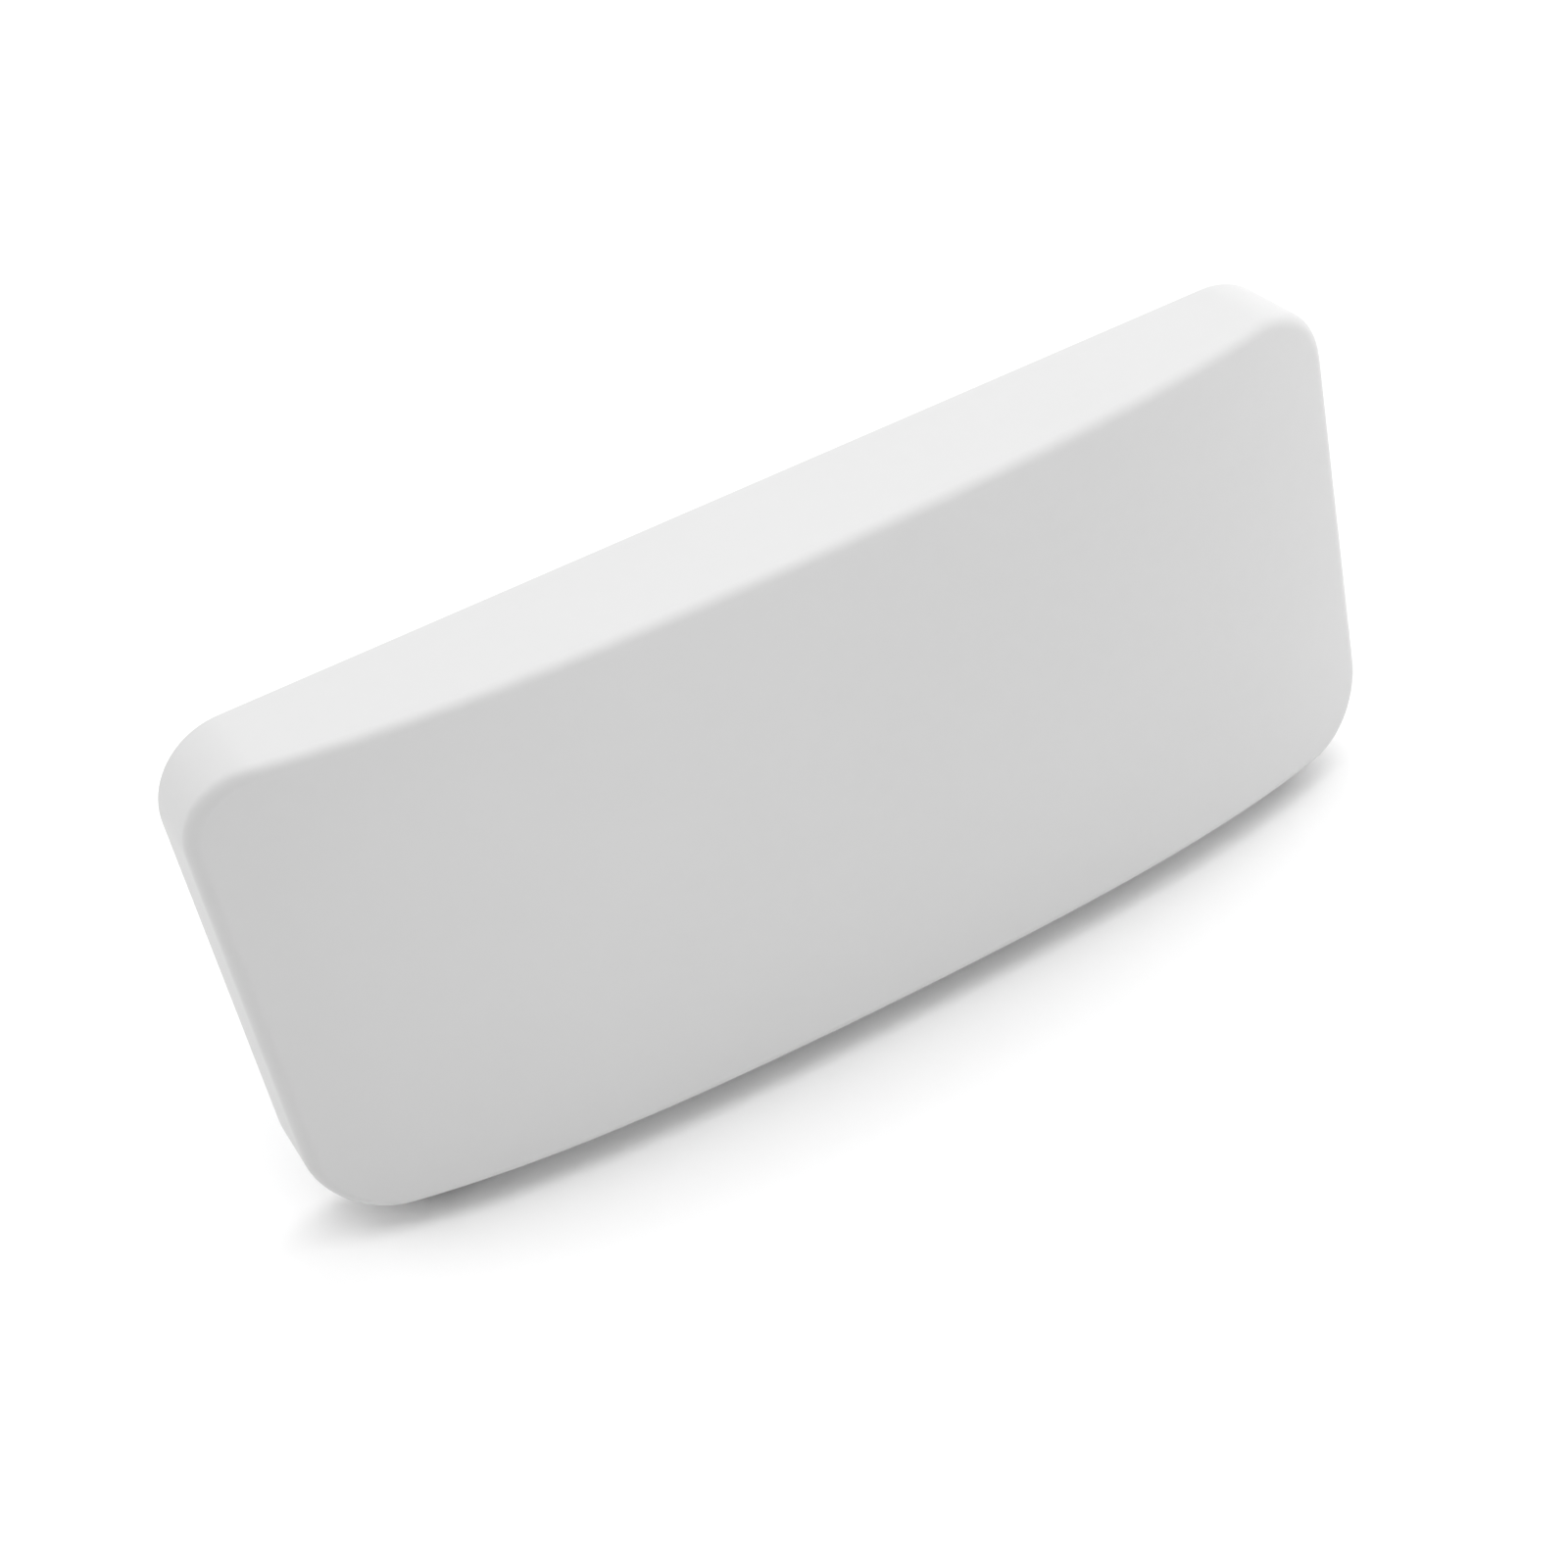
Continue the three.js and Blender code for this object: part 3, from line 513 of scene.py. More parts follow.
def cover_depth(x):
    share = min(1.0, abs(x) / HALF_LENGTH)
    fall = CROWN_SQUARE_SHARE * share**2 + (1 - CROWN_SQUARE_SHARE) * share**4
    return MIDDLE_DEPTH - CROWN * fall


def half_outline(inset, corner_steps=20, straight_steps=72):
    """(x, z) along the upper half of the cover's outline, from its right end to its left."""
    radius = CORNER_RADIUS - inset
    centre_x = HALF_LENGTH - CORNER_RADIUS
    centre_z = HALF_HEIGHT - CORNER_RADIUS
    arc = []
    for step in range(corner_steps + 1):
        turn = math.pi / 2 * step / corner_steps
        arc.append((centre_x + radius * math.cos(turn), centre_z + radius * math.sin(turn)))
    straight = []
    for step in range(1, straight_steps):
        straight.append((centre_x * (1 - 2 * step / straight_steps), centre_z + radius))
    return arc + straight + [(-x, z) for x, z in reversed(arc)]


def cover_blank(name, inset, back_y, edge_steps=10):
    """The cover's outside (inset 0) or its hollow, as a closed mesh with a rounded front edge."""
    edge = EDGE_RADIUS - inset
    rings = [(inset, None)]
    for step in range(edge_steps + 1):
        turn = math.pi / 2 * step / edge_steps
        rings.append((inset + edge * (1 - math.cos(turn)), inset + edge * (1 - math.sin(turn))))
    made = bmesh.new()
    rows = []
    for pulled_in, pulled_back in rings:
        upper = half_outline(pulled_in)
        row = []
        for x, z in upper + [(x, -z) for x, z in reversed(upper)]:
            y = back_y if pulled_back is None else RIM_Y - cover_depth(x) + pulled_back
            row.append((x, y, z))
        rows.append(row)
    rows = loft(made, rows, capped=False)
    count = len(rows[0])
    for row in (rows[0], rows[-1]):
        for i in range(count // 2 - 1):
            made.faces.new((row[i], row[i + 1], row[count - 2 - i], row[count - 1 - i]))
    return as_object(name, made)


def cut(obj, tool):
    """Takes the tool's shape out of the object for good, and removes the tool."""
    modifier = obj.modifiers.new("cut", "BOOLEAN")
    modifier.operation = "DIFFERENCE"
    modifier.solver = "EXACT"
    modifier.object = tool
    bpy.context.view_layer.update()
    evaluated = obj.evaluated_get(bpy.context.evaluated_depsgraph_get())
    mesh = bpy.data.meshes.new_from_object(evaluated)
    obj.modifiers.clear()
    obj.data = mesh
    bpy.data.objects.remove(tool)


def cover_openings():
    """What is cut out of the cover: the port, the cable recess, the feet and the air intake."""
    _, port_y, port_z = spans("service_port_housing")
    gland_x, gland_y, _ = spans("gland_box")
    behind = RIM_Y / MM + 3
    end_wall = (HALF_LENGTH / MM - 10, HALF_LENGTH / MM + 3)
    wall = (COVER_LOW.z / MM - 3, COVER_LOW.z / MM + 7)
    port_z = (port_z[0] - 1, port_z[1] + 1)
    cuts = [Piece().box(end_wall, (port_y[0] - 0.8, behind), port_z, 0)]
    for foot in ("foot_left", "foot_right"):
        foot_x, foot_y, _ = spans(foot)
        cuts.append(
            Piece().box((foot_x[0] - 1.5, foot_x[1] + 1.5), (foot_y[0] - 1.5, behind), wall, 0)
        )
    cuts.append(Piece().box((gland_x[0] - 1, foot_x[1]), (gland_y[0] - 1.2, behind), wall, 0))
    for slot in range(6):
        x = 241 + slot * 12.4
        cuts.append(Piece().box(about(x, 6), (-72, -36), wall, 2.4))
    return cuts


def cover_pegs():
    """The four pegs that the clips grip, each on a cross of gussets."""

    def root(x):
        """A place within the skin's thickness, which slopes with the bow."""
        return (RIM_Y - cover_depth(x * MM)) / MM + 1.9

    pegs = []
    for clip in [n for n in frame["nodes"] if n.startswith("cover_clip")]:
        x, _, z = map(middle, spans(clip))
        tip = -84.2
        free = root(x) + 10
        profile = [(0, tip), (3.6, tip), (5, tip - 2), (5, tip - 7), (4.4, tip - 9), (5, tip - 11)]
        peg = Piece().lathe(profile + [(5, root(x)), (0, root(x))], (x, 0, z))
        for side in (-4, 4):
            peg.box(about(x + side, 8), (root(x + side), free), about(z, 1.8), 0.3)
        peg.box(about(x, 1.8), (root(x), free), about(z, 16), 0.3)
        pegs.append(peg)
    return pegs


def build_cover():
    shell = cover_blank("front_cover_skin", 0, RIM_Y)
    cut(shell, cover_blank("hollow", SKIN, RIM_Y + 5 * MM))
    for opening in cover_openings():
        cut(shell, opening.bare("tool"))
    return shell


cover = settle(build_cover(), "cover_white", "cover", ["front_cover"], 40)
weighted = cover.modifiers.new("even shading", "WEIGHTED_NORMAL")
weighted.keep_sharp = True
weighted.weight = 100
for index, peg in enumerate(cover_pegs()):
    peg.finish(f"cover_peg_{index + 1}", "cover_white", body="cover")


def cover_ribs():
    """Stiffening ribs inside the cover: three along the bow, ten across it."""
    ribs = Piece()
    steps, reach, height = 60, 560, 5

    def inside(x):
        """A place just within the skin, for a rib's root."""
        return (RIM_Y + SKIN - cover_depth(x * MM)) / MM - 1

    for z in (-120, 0, 120):
        rows = []
        for step in range(steps + 1):
            x = reach * (2 * step / steps - 1)
            root = inside(x)
            free = root + 1 + height
            low, high = (x, root, z - 1.2), (x, root, z + 1.2)
            rows.append([low, (x, free, z - 0.8), (x, free, z + 0.8), high])
        loft(ribs.mesh, rows)
    for side in (-1, 1):
        for x in (50, 150, 255, 355, 500):
            root = inside(x)
            ribs.box(about(side * x, 2), (root, root + 1 + height), (-165, 165), 0.3)
    return ribs


cover_ribs().finish("cover_ribs", "cover_white", body="cover")

# ---- battery modules

CELL_FRONT, SEAT = spans("module_1_frame")[1]
CELLS = 16
CELL_PITCH = 27
TERMINAL_OFFSET = 45
TERMINAL_Z = 195
STRAP_LEVELS = (-100, -50)
LINK_FRONT, LINK_BACK = spans("link_bar_1_2")[1]


def build_cells(name, x):
    cells = Piece()
    for cell in range(CELLS):
        z = (cell - (CELLS - 1) / 2) * CELL_PITCH
        cells.box(about(x, 148), (CELL_FRONT, SEAT - 0.2), about(z, 26.4), 2.2)
    cells.finish(f"{name}_cell_stack", "cell_wrap", f"{name}_cells")
    posts = Piece()
    tip = LINK_BACK + 0.2
    profile = [(9.3, CELL_FRONT), (9.3, -131), (8, -131.4), (8, tip), (0, tip)]
    for side in (-1, 1):
        posts.lathe(profile, (x + side * TERMINAL_OFFSET, 0, TERMINAL_Z))
    posts.finish(f"{name}_terminals", "frame_aluminium")


def build_frame(name, x_span, z_span):
    """Two ribbed end plates, four straps and the bolts that tie them."""
    plates = Piece()
    bolts = Piece()
    for end in (-1, 1):
        plates.box(x_span, (CELL_FRONT, SEAT), sorted((end * 216.5, end * 224)), 0.8)
        rib_z = sorted((end * 223.5, end * z_span[1]))
        for rib in range(7):
            x = x_span[0] + 4 + rib * (x_span[1] - x_span[0] - 8) / 6
            plates.box(about(x, 3), (CELL_FRONT, SEAT), rib_z, 0.6)
        for y in (CELL_FRONT + 2, middle((CELL_FRONT, SEAT)), SEAT - 2):
            plates.box(x_span, about(y, 4), rib_z, 0.6)
        for x in (x_span[0] + 14, x_span[1] - 14):
            for y in STRAP_LEVELS:
                bolts.nut((x, y, end * 223.5), "z", 5, 5, end)
    plates.finish(f"{name}_end_plates", "frame_aluminium", f"{name}_frame")
    straps = Piece()
    for side in (0, 1):
        edge = sorted((x_span[side], x_span[side] + (1.5 if side == 0 else -1.5)))
        for y in STRAP_LEVELS:
            straps.box(edge, about(y, 20), z_span, 0.5)
            straps.box(edge, about(y, 9), (z_span[0] + 24, z_span[1] - 24), 0.2)
    straps.finish(f"{name}_straps", "zinc_steel")
    bolts.finish(f"{name}_tie_bolts", "zinc_steel")


def build_guard(name, x):
    """The lid over the busbars: raised pads, and a collar round each terminal."""
    gx, gy, gz = spans(f"{name}_guard")
    face = gy[0] + 1.3
    lid = Piece().box(gx, (face, gy[1]), gz, 2.4)
    for column in (-1, 1):
        for row in range(8):
            lid.box(about(x + column * 35, 62), (gy[0], face + 2), about(-184 + row * 47, 41), 1.2)
        collar = [(9, face + 2), (13.5, face + 2), (13.5, gy[0] + 0.4), (13, gy[0]), (9, gy[0])]
        lid.lathe(collar, (x + column * TERMINAL_OFFSET, 0, TERMINAL_Z), sides=48)
    guard = lid.finish(f"{name}_lid", "guard_plastic", f"{name}_guard")
    bore = [(0, gy[0] - 3), (10, gy[0] - 3), (10, gy[1] + 3), (0, gy[1] + 3)]
    screws = Piece()
    for side in (-1, 1):
        hole = Piece().lathe(bore, (x + side * TERMINAL_OFFSET, 0, TERMINAL_Z), sides=48)
        cut(guard, hole.bare("tool"))
        for z in (-208, -113, 74, 172):
            screws.screw((x + side * 68.2, gy[0] + 1.6, z), radius=2.4)
    screws.finish(f"{name}_lid_screws", "zinc_steel")


def build_link(node):
    """A copper bar in an insulating sleeve, with a nut at each end."""
    (x0, x1), _, (z0, z1) = spans(node)
    bar, sleeve, nuts = Piece(), Piece(), Piece()
    bar.box((x0, x1), (LINK_FRONT, LINK_BACK), (z0, z1), 0.9)
    bar.finish(f"{node}_strip", "copper", node)
    sleeve.box((x0 + 26, x1 - 26), (LINK_FRONT - 0.9, LINK_BACK + 0.7), (z0 - 1, z1 + 1), 1)
    sleeve.finish(f"{node}_sleeve", "lever_orange")
    for x in (x0 + 12, x1 - 12):
        nuts.nut((x, LINK_FRONT, TERMINAL_Z), radius=6.5, height=5)
    nuts.finish(f"{node}_nuts", "zinc_steel")


for number in range(1, 5):
    module = f"module_{number}"
    frame_x, _, frame_z = spans(f"{module}_frame")
    build_cells(module, middle(frame_x))
    build_frame(module, frame_x, frame_z)
    build_guard(module, middle(frame_x))
for pair in ("1_2", "2_3", "3_4"):
    build_link(f"link_bar_{pair}")

# ---- circuit boards


PIN_PITCH = 2.54
SHEET = 1.6  # the thickness of the two large boards


class Board:
    """A circuit board whose face is at y, and the pieces its parts are made of."""

    def __init__(self, node, face, edge=0.3):
        self.node = node
        self.face = face
        (self.x0, self.x1), (self.front, _), z_span = spans(node)
        sheet = Piece().box((self.x0, self.x1), (face, face + SHEET), z_span, edge)
        sheet.finish(f"{node}_sheet", "board_green", node)
        self.dark, self.metal, self.pale = Piece(), Piece(), Piece()

    def chip(self, x, z, width, height, thick):
        """A packaged chip with gull-wing legs on its two long sides."""
        y = self.face
        self.dark.box(about(x, width), (y - thick, y - 0.3), about(z, height), 0.25)
        count = max(3, int(height / 1.9))
        for leg in range(count):
            leg_z = about(z - height / 2 + height * (leg + 0.5) / count, 0.7)
            for side in (-1, 1):
                self.metal.box(about(x + side * (width / 2 + 0.8), 1.9), (y - 0.5, y), leg_z, 0)

    def small_parts(self, x_span, z_span, columns, rows):
        """Rows of resistors and capacitors with tinned ends, every fifth place left free."""
        y = self.face
        for column in range(columns):
            for row in range(rows):
                if (column * 3 + row * 2) % 5 == 0:
                    continue
                x = x_span[0] + (x_span[1] - x_span[0]) * (column + 0.5) / columns
                z = z_span[0] + (z_span[1] - z_span[0]) * (row + 0.5) / rows
                tall = 0.7 + 0.5 * ((column + row) % 3)
                self.metal.box(about(x, 3.4), (y - tall, y), about(z, 1.7), 0.1)
                self.dark.box(about(x, 2.1), (y - tall - 0.06, y), about(z, 1.8), 0.1)

    def pin_header(self, x_span, front, z, length):
        """A shrouded plug socket that opens to the front, with two rows of pins."""
        x0, x1 = x_span
        z0, z1 = about(z, length)
        y_span, wall = (front, self.face), 1.3
        self.pale.box(x_span, (self.face - 2, self.face), (z0, z1), 0.2)
        for side in ((x0, x0 + wall), (x1 - wall, x1)):
            self.pale.box(side, y_span, (z0, z1), 0.2)
        for end in ((z0, z0 + wall), (z1 - wall, z1)):
            self.pale.box(x_span, y_span, end, 0.2)
        count = int((length - 5) / PIN_PITCH)
        for pin in range(count):
            pin_z = about(z + (pin - (count - 1) / 2) * PIN_PITCH, 0.65)
            for x in (middle(x_span) - 1.6, middle(x_span) + 1.6):
                self.metal.box(about(x, 0.65), (front + 1.5, self.face), pin_z, 0.1)

    def stand(self, posts, x, z, seat):
        """A six-sided post from the seat to the board, and the screw over it."""
        back = self.face + 1.7
        posts.lathe([(0, seat), (4, seat), (4, back), (0, back)], (x, 0, z), sides=6)
        posts.screw((x, self.face, z), radius=3.4)

    def finish(self, dark_name, pale_name):
        self.dark.finish(f"{self.node}_{dark_name}", "black_plastic")
        self.metal.finish(f"{self.node}_contacts", "zinc_steel")
        self.pale.finish(f"{self.node}_{pale_name}", "pale_plastic")


def build_bms():
    board = Board("bms_board", -46)
    posts = Piece()
    for x in (board.x0 + 7, board.x1 - 7):
        for z in (-112, 112):
            board.stand(posts, x, z, SEAT)
    for row in range(4):
        board.pin_header((-512, -500), board.front, -75 + row * 50, 34)
    board.chip(-548, 60, 24, 24, 3)
    board.chip(-545, 20, 10, 14, 2)
    board.chip(-522, 86, 8, 12, 2)
    board.dark.box((-560, -530), (-53, board.face), (-52, -8), 1)
    for fin in range(5):
        board.metal.box(about(-557 + fin * 6, 1.2), (-54.4, -52.8), (-50, -10), 0.2)
    board.small_parts((-572, -518), (-104, -56), 8, 12)
    board.small_parts((-530, -514), (-50, 70), 2, 26)
    board.small_parts((-572, -534), (78, 106), 6, 8)
    board.finish("chips", "sockets")
    posts.finish("bms_board_posts", "zinc_steel")


def build_power_board():
    board = Board("power_board", -50)
    face, dark, metal = board.face, board.dark, board.metal
    for x in (246, 424):
        for z in (-164, 0, 164):
            board.stand(metal, x, z, -31.6)
    for relay in range(3):
        z = -130 + relay * 38
        dark.box(about(402, 28), (-68, face - 0.2), about(z, 30), 1.2)
        dark.box(about(402, 22), (-68.5, -67), about(z, 24), 0.4)
    metal.box((384, 424), (-54, face), (40, 80), 0.6)
    # Black strips paint the shade inside the can's vent slots; the slots themselves are not cut.
    for shaded_slot in range(5):
        dark.box((388, 420), (-54.15, -53.9), about(46 + shaded_slot * 7, 2), 0)
    for device in range(8):
        x = 261 + device * 21
        dark.box(about(x, 15.5), (-55.5, -50.6), (-166, -146), 0.5)
        metal.box(about(x, 12), (-50.7, -50.1), (-168, -144), 0.1)
        for leg in (-5, 0, 5):
            metal.box(about(x + leg, 1.1), (-53.5, -52.8), (-147, -140), 0.1)
            metal.box(about(x + leg, 1.1), (-53.5, face), (-141, -140), 0.1)
        metal.screw((x, -55.5, -158), radius=3)
    for block in range(3):
        board.pale.box(about(296 + block * 24, 18), (-72, face - 0.2), (-18, 6), 1)
    board.chip(404, 112, 14, 20, 2.5)
    board.chip(404, 140, 8, 10, 2)
    board.pin_header((376, 388), -59, 140, 30)
    board.small_parts((384, 424), (6, 36), 5, 8)
    board.small_parts((384, 424), (84, 100), 6, 4)
    board.small_parts((250, 288), (-136, -112), 5, 6)
    board.small_parts((250, 286), (-40, 30), 5, 14)
    board.small_parts((300, 372), (66, 92), 9, 6)
    board.finish("parts", "pale_parts")


def build_capacitors():
    sleeves, tops, band = Piece(), Piece(), Piece()
    x = 266
    sleeve = [(0, -50.4), (15.6, -50.4), (16.4, -51.4), (16.4, -52.6), (15.7, -53.4), (16.6, -54.4)]
    sleeve += [(16.6, -98.6), (16, -99.6), (14.2, -99.8), (13.8, -99.2)]
    for z in (60, 100, 140):
        centre = (x, 0, z)
        sleeves.lathe(sleeve, centre, sides=48)
        tops.lathe([(0, -99), (13.9, -99.1), (13.9, -98), (0, -98)], centre, sides=48)
        for turn in range(3):
            spin = Matrix.Translation(centre) @ Matrix.Rotation(turn * math.pi / 3, 4, "Y")
            tops.box(about(0, 22), (-99.4, -98.8), about(0, 0.8), 0.1, spin)
        band.lathe([(16.5, -85), (17, -85), (17, -79), (16.5, -79)], centre, sides=48)
    for side in (-1, 1):
        band.box(about(x + side * 17, 1.2), (-85, -79), (62, 138), 0.3)
    sleeves.finish("capacitor_sleeves", "black_plastic", "capacitor_bank")
    tops.finish("capacitor_tops", "frame_aluminium")
    band.finish("capacitor_band", "zinc_steel")


def build_inductor(node):
    """A ring core with its winding of enamelled wire."""
    centre = Vector([middle(span) for span in spans(node)])
    core_radius, coil_radius, turns, per_turn = 23, 9.3, 38, 14
    core, winding = Piece(), Piece()
    ring = [centre + core_radius * Vector((c, 0, s)) for c, s in circle(64)]
    core.tube(ring, 8, 20, closed=True)
    wire = []
    for step, (c, s) in enumerate(circle(turns * per_turn)):
        roll = 2 * math.pi * step / per_turn
        reach = core_radius + coil_radius * math.cos(roll)
        wire.append(centre + Vector((c * reach, coil_radius * math.sin(roll), s * reach)))
    winding.tube(wire, 1.25, 6, closed=True)
    core.finish(f"{node}_core", "ferrite", node)
    winding.finish(f"{node}_winding", "copper", sharp=80)


def build_transformer():
    core, coil, bobbin, pins = Piece(), Piece(), Piece(), Piece()
    z = -78
    for y_span in ((-96, -90), (-57, -51)):
        core.box((292, 358), y_span, about(z, 20), 0.8)
    for x_span in ((292, 299), (351, 358)):
        core.box(x_span, (-95, -52), about(z, 20), 0.8)
    coil.box((305, 345), (-88, -59), about(z, 46), 7)
    for layer in range(9):
        coil.box((304.4, 345.6), (-88.6, -58.4), about(z - 20 + layer * 5, 3.6), 1.4)
    for side in (-1, 1):
        bobbin.box((302, 348), (-90, -57), about(z + side * 27, 4), 1)
        for pin in range(6):
            pins.box(about(307 + pin * 7.2, 1), (-58, -50), about(z + side * 28, 1), 0.1)
    core.finish("transformer_core", "ferrite", "transformer")
    coil.finish("transformer_coil", "copper")
    bobbin.finish("transformer_bobbin", "dark_plastic")
    pins.finish("transformer_pins", "zinc_steel")


build_bms()
build_power_board()
build_capacitors()
build_inductor("inductor_upper")
build_inductor("inductor_lower")
build_transformer()

# ---- fan


def build_rotor():
    (x0, x1), (y0, y1), (z0, z1) = spans("fan_rotor")
    centre = Vector((middle((x0, x1)), middle((y0, y1)), 0))
    hub = [(0, z0), (13, z0), (14.6, z0 + 1), (15, z0 + 2.4), (15, z1 - 0.2), (0, z1 - 0.2)]
    rotor = Piece().lathe(hub, centre, "z")
    outer = min(x1 - x0, y1 - y0) / 2
    for blade in range(7):
        heading = 2 * math.pi * blade / 7
        sheets = []
        for lift in (0.55, -0.55):
            grid = []
            for reach in range(9):
                radius = 14.5 + (outer - 15) * reach / 8
                row = []
                for chord in range(9):
                    share = chord / 8 - 0.5
                    angle = heading + share * (0.78 - 0.16 * reach / 8) + 0.12 * reach / 8
                    height = middle((z0, z1)) + share * 15 + 2.2 * math.cos(share * math.pi) + lift
                    place = Vector((radius * math.cos(angle), radius * math.sin(angle), height))
                    row.append(rotor.mesh.verts.new(centre + place))
                grid.append(row)
            sheets.append(grid)
        stitch_sheets(rotor.mesh, *sheets)
    rotor.finish("fan_impeller", "black_plastic", "fan_rotor", body="rotor", sharp=50)


def stitch_sheets(mesh, upper, lower):
    """Joins two grids of vertices, one above the other, into one closed thin body."""
    rows, columns = len(upper), len(upper[0])
    for grid in (upper, lower):
        for r in range(rows - 1):
            for c in range(columns - 1):
                mesh.faces.new((grid[r][c], grid[r + 1][c], grid[r + 1][c + 1], grid[r][c + 1]))
    border = [(0, c) for c in range(columns)] + [(r, columns - 1) for r in range(1, rows)]
    border += [(rows - 1, c) for c in range(columns - 2, -1, -1)]
    border += [(r, 0) for r in range(rows - 2, 0, -1)]
    for (r, c), (s, d) in zip(border, border[1:] + border[:1]):
        mesh.faces.new((upper[r][c], upper[s][d], lower[s][d], lower[r][c]))


def build_fan_screws():
    (x0, x1), (y0, y1), (_, z1) = spans("fan_housing")
    screws = Piece()
    for x in (x0 + 4.5, x1 - 4.5):
        for y in (y0 + 4.5, y1 - 4.5):
            screws.screw((x, y, z1), "z", 2.8, 1)
    screws.finish("fan_screws", "zinc_steel")


build_rotor()
build_fan_screws()

# ---- switchgear


def build_contactor(node):
    x_span, _, z_span = spans(node)
    x, z = middle(x_span), middle(z_span)
    can, metal = Piece(), Piece()
    can.box(x_span, (-31, SEAT), z_span, 2)
    profile = [(0, -30), (28.5, -30), (28.5, -34), (27, -36), (27, -58), (26.2, -59)]
    profile += [(26.2, -62), (27, -63), (27, -86), (25.5, -88), (0, -88)]
    can.lathe(profile, (x, 0, z), sides=64)
    can.box(about(x, 44), (-93.5, -87), about(z, 30), 1.5)
    can.box(about(x, 2.4), (-101, -92), about(z, 34), 0.6)
    can.box((x + 18, x + 27), (-52, -40), (z_span[1] - 8, z_span[1] - 1), 0.8)
    for side in (-1, 1):
        metal.nut((x + side * 13, -93.6, z), radius=6, height=5.5)
        for end in (-1, 1):
            metal.screw((x + side * 25, -31, z + end * 25), radius=3.6)
    can.finish(f"{node}_can", "dark_plastic", node)
    metal.finish(f"{node}_studs", "zinc_steel")


def build_fuse():
    z, y = -160, -58
    body, caps, base = Piece(), Piece(), Piece()
    tube = [(0, 477), (12.4, 477), (13, 478), (13, 520), (12.4, 521), (0, 521)]
    body.lathe(tube, (0, y, z), "x", 48)
    for x0, x1 in ((469.5, 480), (518, 528.5)):
        cap = [(0, x0), (13.6, x0), (14.5, x0 + 0.9), (14.5, x1 - 0.6), (13.9, x1), (0, x1)]
        caps.lathe(cap, (0, y, z), "x", 48)
    for x in (470, 528):
        for side in (-1, 1):
            caps.box(about(x, 8), (-62, -36), about(z + side * 7.5, 1.6), 0.5)
        caps.box(about(x, 8), (-38, -35.8), about(z, 17), 0.5)
        caps.screw((x + math.copysign(7, x - 499), -36, z), radius=3)
    base.box((462, 536), (-36, SEAT), about(z, 26), 1.2)
    for x in (484, 499, 514):
        base.box(about(x, 2), (-38, -35), about(z, 22), 0.5)
    body.finish("main_fuse_body", "fuse_ceramic", "main_fuse")
    caps.finish("main_fuse_contacts", "copper")
    base.finish("main_fuse_base", "dark_plastic")


def build_rail_devices():
    """Clamp screws, seams and a test window on the breaker and the terminal block."""
    screws, dark = Piece(), Piece()
    for x in (479, 497):
        for z in (67, 133):
            screws.screw((x, -72.2, z), radius=3.1)
    for way in range(5):
        x = 519.5 + way * 11.8
        for z in (90, 110):
            screws.screw((x, -74.2, z), radius=2.7)
        dark.box(about(x, 6), (-56, -54), (76.5, 78.5), 0.4)
    for way in range(4):
        dark.box(about(525.4 + way * 11.8, 0.5), (-80.12, -79.9), (84.5, 115.5), 0)
    for seam in ((77.5, 83), (117, 122.5)):
        dark.box(about(488, 0.6), (-100.15, -99.9), seam, 0)
    dark.box(about(488, 10), (-77.25, -76.9), (60, 64), 0)
    screws.finish("rail_device_screws", "zinc_steel")
    dark.finish("rail_device_seams", "black_plastic")


build_contactor("contactor_positive")
build_contactor("contactor_negative")
build_fuse()
build_rail_devices()

# ---- service port and glands


def build_rocker():
    centre = (564.5, middle(spans("power_rocker")[1]), 39)
    lean = Matrix.Translation(centre) @ Matrix.Rotation(-0.14, 4, "Y")
    rows = []
    rocker = Piece()
    for step in range(21):
        z = -14.8 + 29.6 * step / 20
        face = 6.6 - 1.5 * math.cos(z / 15 * math.pi / 2)
        corners = [(0.4, -7.3), (0.4, 7.3), (face - 0.4, 7.3)]
        corners += [(face, 6.9), (face, -6.9), (face - 0.4, -7.3)]
        rows.append([lean @ Vector((x, y, z)) for x, y in corners])
    loft(rocker.mesh, rows)
    rocker.finish("rocker_paddle", "black_plastic", "power_rocker", body="rocker")
    mark = Piece()
    mark.box((5.3, 5.95), about(0, 0.9), about(8.5, 5), 0.1, lean)
    mark.finish("rocker_mark", "pale_plastic", body="rocker")


def build_button():
    (x0, x1), y_span, z_span = spans("pairing_button")
    profile = [(0, x0), (6.5, x0), (6.5, x0 + 1.7), (5.1, x0 + 1.9), (5.1, x1 - 0.7)]
    profile += [(4.5, x1 - 0.1), (3.8, x1 - 0.2), (2, x1 - 0.55), (0, x1 - 0.65)]
    cap = Piece().lathe(profile, (0, middle(y_span), middle(z_span)), "x", 48)
    cap.finish("button_cap", "pale_plastic", "pairing_button", body="button")


